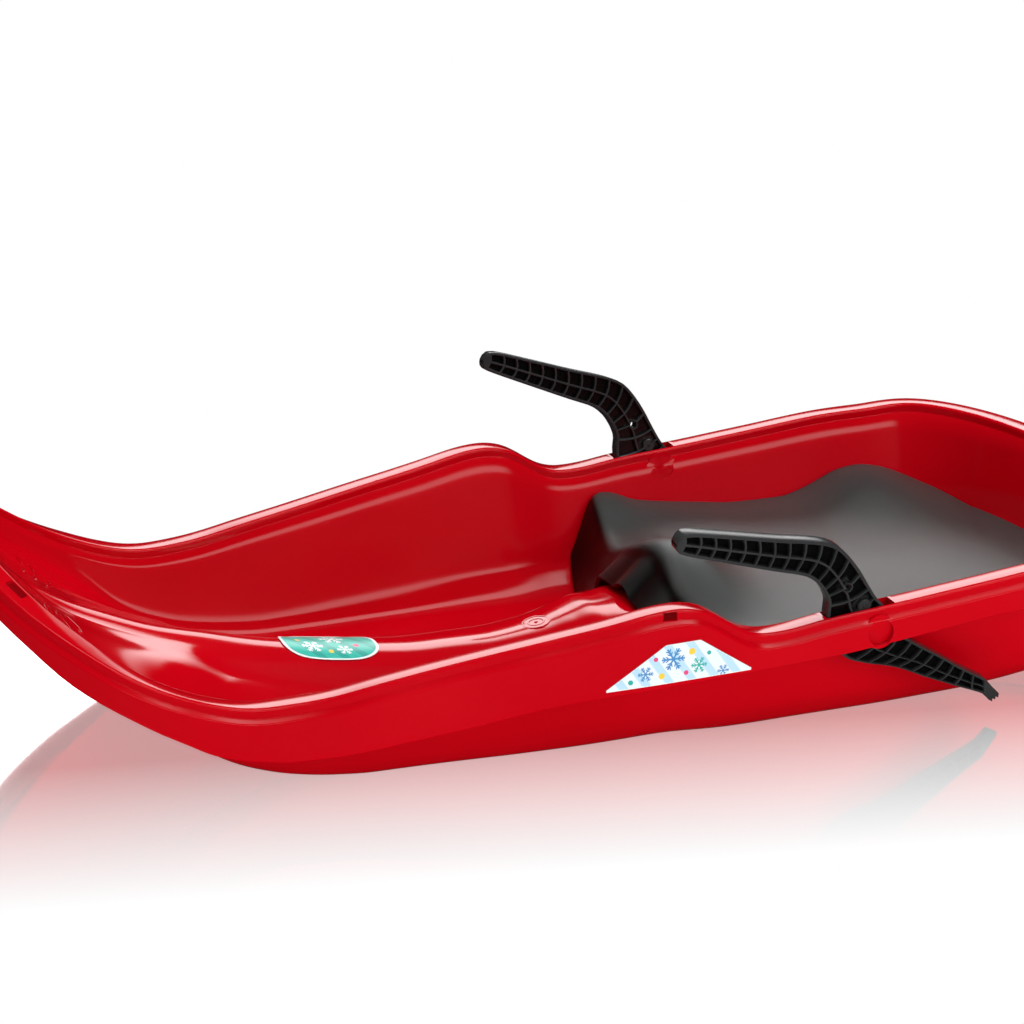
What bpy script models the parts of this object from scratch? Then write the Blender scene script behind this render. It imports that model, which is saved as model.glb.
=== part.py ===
"""Child's plastic bobsled with a moulded seat and two hand brakes.

Metres, +Z up, the nose points to -X.  The origin is under the middle of the
sled, on the ground.  Lengths along the sled are first measured aft from the
datum, the front end of the brake slots, and moved to the origin by DATUM_X.
"""
import math

import bmesh
import bpy
from mathutils import Matrix, Vector

MM = 0.001
GAP = 0.0003                    # play between pieces that touch

# Hull, a single moulded sheet
SHEET = 0.0025
NOSE_TIP = -0.5825              # inner rim edge at the nose, from the datum
NOSE_ROUND = 0.1325             # length of the rounded nose in plan
TAIL_TIP = 0.3275               # inner rim edge at the tail, from the datum
TAIL_ROUND = 0.0925
TAIL_FULLNESS = 2.4             # exponent of the tail's curve, 2 is an ellipse
RIM_WIDTH = 0.0185
RIM_EDGE = 0.0022               # chamfer on both edges of the rim's top
RIM_SIDE = 0.0070               # height of the rim's upright sides
SHOULDER = 0.0033               # step below the rim's sides
SKIRT_FLARE = 0.0007            # the skirt's lower edge stands out by this
WALL_RISE = 3.4                 # rise of the tub's wall for each unit inward
WALL_FILLET = 0.008             # rounding where the wall turns to its lower slope
FLOOR_FILLET = 0.012            # rounding from the lower slope to the floor
BELLY_SHAVE = 0.0003            # taken off under the belly so that it is truly flat
RIDGE_CROWN = 0.0045            # how much lower the ridge's edges are than its middle
CROWN_END = (-0.090, -0.050)    # where the ridge's top becomes flat, under the seat
RIDGE_FLANK = 0.024             # width of the ridge's sloping side
ARCH_START = 0.035              # the arched floor, off the centre
ARCH_EDGE = 0.116               # where it meets the flat belly
NOSE_SPINE = 0.075              # how far behind the tip the nose sections meet
TAIL_SPINE = 0.075

# Profiles along the hull: (aft of the datum, size), in millimetres
RIM_TOP = ((-582.5, 201), (-560, 177), (-540, 154), (-520, 137), (-480, 106), (-440, 86), (-400, 76.4),
           (-360, 78.4), (-320, 85.5), (-240, 99.2), (-160, 112.4), (-118, 119.9), (-104, 120), (-85, 113.1),
           (-70, 101.9), (-55, 93.8), (-35, 93.4), (0, 98.4), (60, 104), (120, 110.3), (200, 117.9),
           (235, 118.5), (260, 121), (310, 118), (327.5, 117))
RIM_HALF = ((-450, 162.2), (-400, 163), (-340, 168), (-280, 172.6), (-200, 181.7), (-115, 189.6), (-50, 190),
            (235, 190))
SKIRT_EDGE = ((-582.5, 181), (-560, 159), (-536, 130), (-511, 102), (-478.5, 77), (-459, 63.5), (-432, 48),
              (-405, 40.6), (-377.5, 37.3), (-350, 38), (-293, 44), (-245, 51), (-200, 58.5), (-133, 64.3),
              (-60, 68.3), (9, 72), (56, 77), (150, 87.5), (327.5, 93))
BELLY = ((-582.5, 175), (-550, 143), (-518, 111), (-480, 79), (-450, 55), (-423, 30.5), (-396, 16),
         (-368, 7), (-339, 2.3), (-310, 0), (60, 0), (135, 2), (168.5, 5.5), (193, 9.5), (230, 17.5),
         (327.5, 31))
WALL_BEND = ((-582.5, 2), (-450, 5), (-430, 8), (-400, 13), (-360, 16), (-300, 17.5), (-250, 20),
             (-200, 22), (-120, 23), (100, 23), (200, 18), (327.5, 8))      # above the trough
LOW_WALL_RISE = ((-582.5, 1800), (-220, 1800), (-50, 1150), (327.5, 1150))      # in thousandths
ARCH = ((-582.5, 183), (-550, 150), (-500, 103), (-450, 76), (-420, 65), (-385, 46.6), (-320, 31),
        (-250, 23), (-150, 19), (0, 19), (327.5, 35))
RIDGE_TOP = ((-582.5, 183), (-550, 151), (-520, 121), (-495, 104), (-465, 90), (-430, 76), (-390, 65),
             (-350, 54.5), (-310, 47), (-270, 41.5), (-220, 37.5), (-180, 37.5), (-140, 41.2), (-115, 47),
             (-95, 51.5), (-50, 51.5), (25, 48), (65, 48), (90, 46), (170, 42.5), (210, 42.5), (250, 41),
             (327.5, 38))
RIDGE_HALF = ((-500, 12), (-430, 16), (-350, 19), (-310, 22.5), (-220, 26), (-140, 30), (-90, 36),
              (-58, 38), (-32, 90), (0, 92), (327.5, 92))
HULL_STATIONS = (-420, -390, -360, -320, -280, -240, -200, -160, -135, -118, -104, -92, -80, -69, -58, -32,
                 -5, 25, 65, 100, 135, 170, 210)

# Features moulded into the hull
SLOT_START = 0.0008             # brake slots, from the datum
SLOT_LENGTH = 0.0527
WINDOW_AT = -0.1193             # small square window in the rim's outer edge
WINDOW_LENGTH = 0.0100
WINDOW_HEIGHT = 0.0060
WINDOW_DEPTH = 0.0090
CORD_SLOT_TURN = 45             # degrees round the nose from its tip
CORD_SLOT_OFF = 0.0070          # outward from the rim's inner edge
CORD_SLOT_LENGTH = 0.016
CORD_SLOT_WIDTH = 0.007
FOOT_RIBS = ((-509, 104), (-501, 97), (-494, 58))      # aft of the datum, outer end, in millimetres
FOOT_RIB_START = 0.030          # inner end, off the centre
FOOT_RIB_HALF = 0.0013
FOOT_RIB_HEIGHT = 0.0014
DISC_AT = -0.1393               # round pad on the ridge
DISC_RADIUS = 0.0110
DISC_HEIGHT = 0.0008

# Brake levers and their pivots
PIVOT_AT = 0.0400               # aft of the datum
PIVOT_DROP = 0.0155             # below the rim's top
LEVER_LEAN = math.radians(8)    # the levers' tops lean outward
PIN_RADIUS = 0.0040
HUB_RADIUS = 0.0072
HUB_HALF = 0.0057
BOSS_RADIUS = 0.0123
RECESS_RADIUS = 0.0098
BOSS_FLOOR = 0.0025             # plastic left between a recess and the lever
SOCKET_DEPTH = 0.0018
RIGHT_LEVER_RAISE = math.radians(6.5)
LEVER_WEB = 0.0024
LEVER_RIB = 0.0016
LEVER_FLANGE = 0.0024
LEVER_CELLS = 30
RIB_HEIGHT_SHARE = 0.47         # where the long rib runs, from lower to upper edge
LEVER_HOLE = (-24.7, 34)
LEVER_HOLE_RADIUS = 0.0028
# Lever sections in its own plane, in millimetres from the pivot:
# lower edge x, z, upper edge x, z, half of the thickness
LEVER_SECTIONS = ((-158.2, 80.5, -157.8, 85.5, 4.3), (-156, 77.3, -153.5, 90.2, 5.5),
                  (-147.5, 73.6, -144, 90.6, 5.5), (-118.5, 64.8, -116, 85.4, 5.5),
                  (-84, 54.6, -80.5, 78.4, 5.5), (-60, 47.8, -51.5, 73.2, 5.5), (-49.5, 41.2, -36.5, 67.8, 5.5),
                  (-43.5, 34, -26, 58.5, 5.5), (-40.6, 29, -16.5, 46.5, 5.4),
                  (-38.4, 23, -7.5, 32.5, 5.3), (-38.3, 11, 0.5, 21, 5.3), (-34, -4, 10, 11, 5.3),
                  (-22, -21, 21, -8, 5.3), (-5, -28.5, 38, -20.5, 5.3), (20, -35.5, 57, -32.5, 5.3),
                  (45, -47, 76, -45, 5.3), (70, -57.8, 92.5, -54.5, 5.3), (93, -67.5, 101.5, -60, 5.3),
                  (101.5, -75.2, 108.5, -71.5, 4.6))

# Seat
SEAT_SHEET = 0.0030
SEAT_CLEAR = 0.0016              # least height of the seat's underside above the tub
SEAT_FRONT_ROUND = 0.010
# Seat heights along the centre, the pan beside it and the side edge: (aft of the datum, height)
SEAT_CENTRE = ((-38, 89), (-30, 91), (-14, 87), (8, 74), (35, 63), (70, 57), (110, 53.5), (160, 52),
               (220, 50.5), (290, 47))
SEAT_PAN = ((-38, 56), (-10, 56), (40, 55), (110, 53.5), (160, 52), (220, 50.5), (290, 47))
SEAT_SIDE = ((-30, 72), (-20, 75), (-10, 74.5), (14, 66.5), (68, 59.5), (102, 56.5), (140, 57), (158, 61),
             (176, 67.5), (194, 74), (212, 76), (231, 73), (250, 66), (264, 60), (276, 55), (290, 48))
SEAT_STATIONS = (-20, -11, 0, 14, 36, 65, 100, 140, 170, 200)
SEAT_FRONT_TOP = ((0, -38), (50, -43), (80, -41), (150, -27), (180, -22))      # (across, aft)
SEAT_FRONT_FOOT = ((0, -71), (40, -71), (80, -67), (120, -58), (180, -44))
SEAT_POMMEL_HALF = 0.115        # half width of the raised part between the thighs
SEAT_LOBE_FRONT = 0.66          # where the side lobes begin, from the centre to the edge
SEAT_LOBE_REAR = 0.25
SEAT_LOBE_LENGTH = 0.150        # from the front to where they have their rear width
SEAT_BOW_LENGTH = 0.070         # how far aft the front's curve in plan fades out
SEAT_ARCH_HALF = 0.016          # opening at the foot of the seat's front
SEAT_ARCH_HEIGHT = 0.007

# Clips that hold the seat down
CLIP_AT = ((0.045, 0.062), (0.190, 0.070))      # aft of the datum, off the centre
CLIP_SHANK = 0.0030
CLIP_HEAD = 0.0075
CLIP_HEAD_HEIGHT = 0.0022
CLIP_GRIP = 0.0055              # length of shank above the floor
POST_RADIUS = 0.0070

# Stickers
STICKER_SHEET = 0.0004
SIDE_STICKER = (-0.166, -0.060) # aft of the datum
SIDE_STICKER_LOW = (0.0046, 0.0026)     # above the skirt's edge at the front and rear end
SIDE_STICKER_END = 0.0015       # height at the ends
SIDE_STICKER_HEIGHT = 0.028
SIDE_STICKER_SLOPES = (0.40, 0.36)      # shares of the length that the sloping ends take
RIDGE_STICKER = (-0.338, -0.265)
RIDGE_STICKER_HALF = 0.025

DATUM_X = -(NOSE_TIP + TAIL_TIP) / 2
LEFT, RIGHT = -1, 1


def remove_all():
    """Empty the scene and leave one collection for parts and one for cutters."""
    for obj in list(bpy.data.objects):
        bpy.data.objects.remove(obj, do_unlink=True)
    for coll in list(bpy.data.collections):
        bpy.data.collections.remove(coll)
    made = []
    for name in ("bobsled", "cutters"):
        coll = bpy.data.collections.new(name)
        bpy.context.scene.collection.children.link(coll)
        made.append(coll)
    return made


def make_material(name, colour, roughness, metallic=0.0):
    mat = bpy.data.materials.new(name)
    mat.use_nodes = True
    shader = mat.node_tree.nodes["Principled BSDF"]
    shader.inputs["Base Color"].default_value = (*colour, 1.0)
    shader.inputs["Roughness"].default_value = roughness
    shader.inputs["Metallic"].default_value = metallic
    return mat


def curve_through(points):
    """A smooth curve through (place, size) points in millimetres, without overshoot."""
    xs = [p[0] * MM for p in points]
    ys = [p[1] * MM for p in points]
    rise = [(ys[i + 1] - ys[i]) / (xs[i + 1] - xs[i]) for i in range(len(xs) - 1)]
    slope = [rise[0]]
    for before, after in zip(rise, rise[1:]):
        slope.append(2 * before * after / (before + after) if before * after > 0 else 0.0)
    slope.append(rise[-1])

    def value(x):
        x = min(max(x, xs[0]), xs[-1])
        i = max(k for k in range(len(xs) - 1) if xs[k] <= x)
        h = xs[i + 1] - xs[i]
        t = (x - xs[i]) / h
        return (ys[i] * (2 * t**3 - 3 * t**2 + 1) + slope[i] * h * (t**3 - 2 * t**2 + t)
                + ys[i + 1] * (3 * t**2 - 2 * t**3) + slope[i + 1] * h * (t**3 - t**2))
    return value


def ease(t):
    """0 to 1 with level ends."""
    t = min(max(t, 0.0), 1.0)
    return t * t * (3 - 2 * t)


def mix(a, b, t):
    return a + (b - a) * t


rim_top = curve_through(RIM_TOP)
rim_half = curve_through(RIM_HALF)
skirt_edge = curve_through(SKIRT_EDGE)
belly = curve_through(BELLY)
wall_bend = curve_through(WALL_BEND)
low_wall_rise = curve_through(LOW_WALL_RISE)
arch = curve_through(ARCH)
ridge_top = curve_through(RIDGE_TOP)
ridge_half = curve_through(RIDGE_HALF)
seat_centre = curve_through(SEAT_CENTRE)
seat_pan = curve_through(SEAT_PAN)
seat_side = curve_through(SEAT_SIDE)
seat_front_top = curve_through(SEAT_FRONT_TOP)
seat_front_foot = curve_through(SEAT_FRONT_FOOT)


def wall_reach(x, z):
    """How far inside the rim's inner edge the tub's wall is at height z."""
    return SHOULDER + max(rim_top(x) - RIM_SIDE - SHOULDER - z, 0.0) / WALL_RISE


def trough_height(x):
    return belly(x) + SHEET - BELLY_SHAVE


def floor_height(x, y):
    """Upper face of the tub's floor: flat troughs, an arch between them and the ridge on it."""
    y = abs(y)
    trough = trough_height(x)
    arched = max(arch(x), trough)
    half = ridge_half(x)
    z = mix(arched, trough, ease((y - ARCH_START) / (ARCH_EDGE - ARCH_START)))
    crown = RIDGE_CROWN * (1 - ease((x - CROWN_END[0]) / (CROWN_END[1] - CROWN_END[0])))
    crest = ridge_top(x) - crown * min(y / half, 1.0) ** 2
    return mix(max(crest, z), z, ease((y - half) / RIDGE_FLANK))


def rounded_max(a, b, reach):
    return max(a, b) + max(reach - abs(a - b), 0.0) ** 2 / (4 * reach)


def bend_reach(x):
    """How far inside the rim's inner edge the wall turns to its lower slope."""
    return wall_reach(x, trough_height(x) + wall_bend(x))


def foot_reach(x):
    """How far inside the rim's inner edge the lower slope meets the trough."""
    return bend_reach(x) + wall_bend(x) / low_wall_rise(x)


def tub_height(x, y, inward):
    """Upper face of the tub at a point that lies so far inside the rim's inner edge."""
    brim = rim_top(x) - RIM_SIDE - SHOULDER
    floor = floor_height(x, y)
    wall = brim - (inward - SHOULDER) * WALL_RISE
    lower = trough_height(x) + wall_bend(x) - (inward - bend_reach(x)) * low_wall_rise(x)
    wall = rounded_max(wall, lower, WALL_FILLET)
    return rounded_max(wall, floor, min(FLOOR_FILLET, max(brim - floor, 0.004)))


def plan_stations(nose_steps, body, tail_steps):
    """Points of the rim's inner edge, tip to tip on the right side, with the spine point of each."""
    stations = []
    nose_end = NOSE_TIP + NOSE_ROUND
    for i in range(nose_steps):
        turn = math.pi / 2 * i / nose_steps
        edge = (nose_end - NOSE_ROUND * math.cos(turn), rim_half(nose_end) * math.sin(turn))
        spine = nose_end - (NOSE_ROUND - NOSE_SPINE) * math.cos(turn)
        stations.append((edge, spine))
    for x in body:
        stations.append(((x, rim_half(x)), x))
    tail_start = TAIL_TIP - TAIL_ROUND
    power = 2 / TAIL_FULLNESS
    for i in range(1, tail_steps + 1):
        turn = math.pi / 2 * i / tail_steps
        across = rim_half(tail_start) * max(math.cos(turn), 0.0) ** power
        along = math.sin(turn) ** power
        if i == tail_steps:
            across = 0.0
        edge = (tail_start + TAIL_ROUND * along, across)
        stations.append((edge, tail_start + (TAIL_ROUND - TAIL_SPINE) * along))
    return stations


def outward_normals(stations):
    """Plan normals of the rim's inner edge, square to the sled at both tips."""
    normals = []
    last = len(stations) - 1
    for i in range(last + 1):
        if i == 0:
            normals.append(Vector((-1, 0)))
        elif i == last:
            normals.append(Vector((1, 0)))
        else:
            ahead = Vector(stations[i + 1][0]) - Vector(stations[i][0])
            behind = Vector(stations[i][0]) - Vector(stations[i - 1][0])
            along = ahead.normalized() + behind.normalized()
            normals.append(Vector((-along.y, along.x)).normalized())
    return normals


def inward_point(edge, spine, normal, share):
    """A point on the curved line from the rim's inner edge to the spine."""
    start = Vector(edge)
    end = Vector((spine, 0.0))
    middle = start - normal * (end - start).length * 0.5
    return start * (1 - share) ** 2 + middle * 2 * share * (1 - share) + end * share**2


def rim_rows():
    """The rim's section from the skirt's lower edge inward: (outward, below the top)."""
    deep = RIM_SIDE + SHOULDER
    return ((RIM_WIDTH + SHOULDER, deep), (RIM_WIDTH, RIM_SIDE), (RIM_WIDTH, RIM_EDGE), (RIM_WIDTH - RIM_EDGE, 0),
            (RIM_EDGE, 0), (0, RIM_EDGE), (0, RIM_SIDE))


def hull_columns(stations, floor_rows):
    """One column of points for each station, from the skirt's lower edge to the spine."""
    columns = []
    for (edge, spine), normal in zip(stations, outward_normals(stations)):
        x, y = edge
        top = rim_top(x)
        column = []
        low = Vector(edge) + normal * (RIM_WIDTH + SHOULDER + SKIRT_FLARE)
        column.append(Vector((low.x, low.y, skirt_edge(x))))
        for out, drop in rim_rows():
            at = Vector(edge) + normal * out
            column.append(Vector((at.x, at.y, top - drop)))
        span = (Vector((spine, 0)) - Vector(edge)).length
        bend = min(max(bend_reach(x), SHOULDER + 0.006), span * 0.35)
        foot = min(max(foot_reach(x), bend + 0.006), span * 0.6)
        turn = WALL_FILLET / WALL_RISE
        round_off = min(FLOOR_FILLET / 2, (foot - bend) * 0.6)
        reaches = [SHOULDER, mix(SHOULDER, bend, 0.5), bend - turn, bend + turn, mix(bend + turn, foot, 0.5),
                   foot - round_off * 0.3, foot + round_off]
        inner = span - reaches[-1]
        for row in floor_rows:
            reaches.append(span - inner * row)
        for reach in reaches:
            at = inward_point(edge, spine, normal, reach / span)
            flat_y = 0.0 if abs(at.y) < 1e-6 else at.y
            column.append(Vector((at.x, flat_y, tub_height(at.x, at.y, reach))))
        columns.append(column)
    return columns


def mesh_from_columns(name, columns):
    """A sheet of quads whose upper side faces up, or outward on a skirt."""
    bm = bmesh.new()
    verts = [[bm.verts.new((p.x + DATUM_X, p.y, p.z)) for p in column] for column in columns]
    for a, b in zip(verts, verts[1:]):
        for j in range(len(a) - 1):
            bm.faces.new((a[j], a[j + 1], b[j + 1], b[j]))
    mesh = bpy.data.meshes.new(name)
    bm.to_mesh(mesh)
    bm.free()
    return mesh


def add_object(name, mesh, material, collection):
    obj = bpy.data.objects.new(name, mesh)
    if material:
        mesh.materials.append(material)
    collection.objects.link(obj)
    return obj


def add_mirror(obj):
    mod = obj.modifiers.new("both_sides", "MIRROR")
    mod.use_axis = (False, True, False)
    mod.merge_threshold = 0.00005


def add_thickness(obj, thickness):
    mod = obj.modifiers.new("sheet", "SOLIDIFY")
    mod.thickness = thickness
    mod.offset = -1
    mod.use_even_offset = True
    mod.use_quality_normals = True


def add_boolean(obj, other, operation):
    mod = obj.modifiers.new(other.name, "BOOLEAN")
    mod.operation = operation
    mod.object = other
    mod.solver = "EXACT"


def make_cutter(name, bm, collection):
    """Turn a finished bmesh into a hidden helper object."""
    bmesh.ops.recalc_face_normals(bm, faces=bm.faces)
    mesh = bpy.data.meshes.new(name)
    bm.to_mesh(mesh)
    bm.free()
    obj = add_object(name, mesh, None, collection)
    obj.hide_render = True
    obj.display_type = "WIRE"
    return obj


def add_rod(bm, start, end, radius, sides):
    """A closed cylinder from one point to another."""
    start = Vector(start)
    end = Vector(end)
    way = end - start
    turn = Vector((0, 0, 1)).rotation_difference(way).to_matrix().to_4x4()
    place = Matrix.Translation((start + end) / 2) @ turn
    made = bmesh.ops.create_cone(bm, cap_ends=True, segments=sides, radius1=radius, radius2=radius,
                                 depth=way.length, matrix=place)
    return made["verts"]


def add_block(bm, low, high):
    """A closed box between two corners."""
    low = Vector(low)
    high = Vector(high)
    size = Matrix.Diagonal((*(high - low), 1))
    bmesh.ops.create_cube(bm, size=1, matrix=Matrix.Translation((low + high) / 2) @ size)


def pivot_point(side):
    """Where a lever's middle plane crosses its pivot axis."""
    height = rim_top(PIVOT_AT) - PIVOT_DROP
    slot_middle = rim_half(PIVOT_AT) + RIM_WIDTH / 2
    across = slot_middle - math.tan(LEVER_LEAN) * (PIVOT_DROP - SHEET)
    return Vector((PIVOT_AT + DATUM_X, side * across, height))


def lever_frame(side):
    """Lever axes: X aft, Y outward along the pin, Z up the leaning lever."""
    outward = Vector((0, side * math.cos(LEVER_LEAN), -math.sin(LEVER_LEAN)))
    upward = Vector((0, side * math.sin(LEVER_LEAN), math.cos(LEVER_LEAN)))
    turn = Matrix((Vector((1, 0, 0)), outward, upward)).transposed().to_4x4()
    return Matrix.Translation(pivot_point(side)) @ turn


def wall_middle(x, z):
    """How far off the centre the middle of the tub's wall is at a height."""
    return rim_half(x) - wall_reach(x, z) + SHEET / 2


def add_boss(bm, side, inner):
    """A round boss that carries one end of the pin, grown from the wall or the skirt."""
    frame = lever_frame(side)
    near = HUB_HALF + GAP
    sign = -1 if inner else 1
    skirt_reach = RIM_WIDTH + SHOULDER + rim_half(PIVOT_AT) - SHEET / 2
    ends = []
    sides = 28
    for reach in (near, 0.0):
        ring = []
        for k in range(sides):
            turn = 2 * math.pi * k / sides
            x = BOSS_RADIUS * math.cos(turn)
            z = BOSS_RADIUS * math.sin(turn)
            at = frame @ Vector((x, sign * near, z))
            if reach == 0.0:
                if inner:
                    goal = wall_middle(PIVOT_AT + x, at.z)
                else:
                    goal = skirt_reach
                shift = (goal - abs(at.y)) / math.cos(LEVER_LEAN)
                at = frame @ Vector((x, sign * near + shift, z))
            ring.append(bm.verts.new(at))
        ends.append(ring)
    first, second = ends
    bm.faces.new(first)
    bm.faces.new(list(reversed(second)))
    for k in range(sides):
        n = (k + 1) % sides
        bm.faces.new((first[k], second[k], second[n], first[n]))


def add_foot_rib(bm, side, x, outer):
    """A low rib across a footwell, half sunk into the floor."""
    steps = 8
    rings = []
    for k in range(steps + 1):
        y = mix(FOOT_RIB_START, outer, k / steps)
        floor = floor_height(x, y)
        ring = []
        for along, rise in ((-1, -SHEET / 2), (1, -SHEET / 2), (0.6, FOOT_RIB_HEIGHT), (-0.6, FOOT_RIB_HEIGHT)):
            ring.append(bm.verts.new((x + along * FOOT_RIB_HALF + DATUM_X, side * y, floor + rise)))
        rings.append(ring)
    bm.faces.new(rings[0])
    bm.faces.new(list(reversed(rings[-1])))
    for a, b in zip(rings, rings[1:]):
        for k in range(4):
            n = (k + 1) % 4
            bm.faces.new((a[k], b[k], b[n], a[n]))


def make_hull(parts, cutters, material):
    body = [NOSE_TIP + NOSE_ROUND] + [x * MM for x in HULL_STATIONS] + [TAIL_TIP - TAIL_ROUND]
    stations = plan_stations(7, body, 7)
    floor_rows = (0.84, 0.68, 0.54, 0.40, 0.29, 0.19, 0.09, 0.0)
    columns = hull_columns(stations, floor_rows)
    hull = add_object("hull", mesh_from_columns("hull", columns), material, parts)
    add_mirror(hull)
    add_thickness(hull, SHEET)

    bosses = bmesh.new()
    for side in (LEFT, RIGHT):
        add_boss(bosses, side, True)
        add_boss(bosses, side, False)
        for x, outer in FOOT_RIBS:
            add_foot_rib(bosses, side, x * MM, outer * MM)
    disc_x = DISC_AT + DATUM_X
    disc_z = floor_height(DISC_AT, 0)
    add_rod(bosses, (disc_x, 0, disc_z - SHEET / 2), (disc_x, 0, disc_z + DISC_HEIGHT), DISC_RADIUS, 32)
    add_boolean(hull, make_cutter("bosses", bosses, cutters), "UNION")

    cuts = bmesh.new()
    for side in (LEFT, RIGHT):
        frame = lever_frame(side)
        slot_middle = rim_half(PIVOT_AT) + RIM_WIDTH / 2
        half = RIM_WIDTH / 2 - SHEET
        slot_low = rim_top(SLOT_START) - SHEET * 2
        low = (SLOT_START + DATUM_X, side * slot_middle - half, slot_low)
        high = (SLOT_START + SLOT_LENGTH + DATUM_X, side * slot_middle + half, rim_top(PIVOT_AT) + SHEET * 4)
        add_block(cuts, low, high)
        floor_at = HUB_HALF + GAP + BOSS_FLOOR
        for sign in (-1, 1):
            add_rod(cuts, frame @ Vector((0, sign * floor_at, 0)), frame @ Vector((0, sign * 0.03, 0)),
                    RECESS_RADIUS, 28)
        socket = HUB_HALF + GAP + SOCKET_DEPTH
        add_rod(cuts, frame @ Vector((0, -socket, 0)), frame @ Vector((0, socket, 0)), PIN_RADIUS + GAP, 24)
        window_y = rim_half(WINDOW_AT) + RIM_WIDTH
        top = rim_top(WINDOW_AT)
        ends = sorted((side * (window_y - WINDOW_DEPTH), side * (window_y + WINDOW_DEPTH)))
        add_block(cuts, (WINDOW_AT - WINDOW_LENGTH / 2 + DATUM_X, ends[0], top - WINDOW_HEIGHT / 2),
                  (WINDOW_AT + WINDOW_LENGTH / 2 + DATUM_X, ends[1], top + WINDOW_HEIGHT))
        for clip in clip_places(side):
            add_rod(cuts, (clip.x, clip.y, clip.z - 0.01), (clip.x, clip.y, clip.z + 0.01), CLIP_SHANK + GAP, 20)
    add_cord_slots(cuts)
    reach = rim_half(PIVOT_AT) + RIM_WIDTH * 2
    add_block(cuts, (NOSE_TIP + DATUM_X, -reach, -SHEET * 2), (TAIL_TIP + DATUM_X, reach, 0))
    add_boolean(hull, make_cutter("hull_cuts", cuts, cutters), "DIFFERENCE")
    return hull


def add_cord_slots(bm):
    """Slots for a cord through the rim's top at both sides of the nose."""
    turn = math.radians(CORD_SLOT_TURN)
    nose_end = NOSE_TIP + NOSE_ROUND
    wide = rim_half(nose_end)
    edge = Vector((nose_end - NOSE_ROUND * math.cos(turn), wide * math.sin(turn), 0))
    normal = Vector((-math.cos(turn) * wide, math.sin(turn) * NOSE_ROUND, 0)).normalized()
    slope = (rim_top(edge.x + 0.004) - rim_top(edge.x - 0.004)) / 0.008
    along = Vector((normal.y, -normal.x, slope * normal.y)).normalized()
    deep = along.cross(normal)
    middle = edge + normal * CORD_SLOT_OFF + Vector((DATUM_X, 0, rim_top(edge.x)))
    axes = (along * CORD_SLOT_LENGTH, normal * CORD_SLOT_WIDTH, deep * SHEET * 4)
    for side in (LEFT, RIGHT):
        flip = Matrix.Diagonal((1, side, 1)).to_3x3()
        turned = Matrix([flip @ a for a in axes]).transposed().to_4x4()
        bmesh.ops.create_cube(bm, size=1, matrix=Matrix.Translation(flip @ middle) @ turned)


def clip_places(side):
    """Clip axes on the seat platform, at the floor's upper face."""
    return [Vector((x + DATUM_X, side * y, floor_height(x, y))) for x, y in CLIP_AT]


def seat_edge(edge, spine, normal):
    """The seat's edge on a line from the rim to the spine, as near the wall as its underside allows."""
    span = (Vector((spine, 0)) - Vector(edge)).length
    reach = SHOULDER + SEAT_SHEET
    while reach < span:
        at = inward_point(edge, spine, normal, reach / span)
        under = seat_side(at.x) - SEAT_SHEET - SEAT_CLEAR
        if tub_height(at.x, at.y, reach - SEAT_SHEET / 2) <= under:
            break
        reach += 0.0005
    return at


def seat_limit(x, z):
    """The widest that the seat's front may be at a height, clear of the tub's wall."""
    y = rim_half(x) - SHOULDER - SEAT_SHEET
    while y > 0.1 and tub_height(x, y, rim_half(x) - y) > z - SEAT_CLEAR:
        y -= 0.0005
    return y - SEAT_SHEET / 2


def seat_height(x, y, share, side_height):
    """Top of the seat: a pommel and two lobes that rise from the pan."""
    pan = seat_pan(x)
    pommel = (seat_centre(x) - pan) * ease(1 - abs(y) / SEAT_POMMEL_HALF)
    begin = mix(SEAT_LOBE_FRONT, SEAT_LOBE_REAR, ease((x - SEAT_STATIONS[0] * MM) / SEAT_LOBE_LENGTH))
    lobe = (side_height - pan) * ease((share - begin) / (1 - begin)) ** 1.3
    return pan + pommel + lobe


def seat_foot_height(x, y):
    """Where the front's lower edge ends above the tub's floor."""
    floor = 0.0
    for step in (0, 0.003, 0.006):
        for beside in (max(y - 0.008, 0), y):
            floor = max(floor, tub_height(x + step, beside, max(rim_half(x) - beside, SHOULDER)))
    return floor + SEAT_CLEAR + SEAT_SHEET * 0.85


def post_top(clip):
    """Height inside the seat's sheet above a clip."""
    x = clip.x - DATUM_X
    outer = seat_edge((x, rim_half(x)), x, Vector((0, 1)))
    share = abs(clip.y) / outer.y
    return seat_height(x, clip.y, share, seat_side(x)) - SEAT_SHEET / 2


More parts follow.
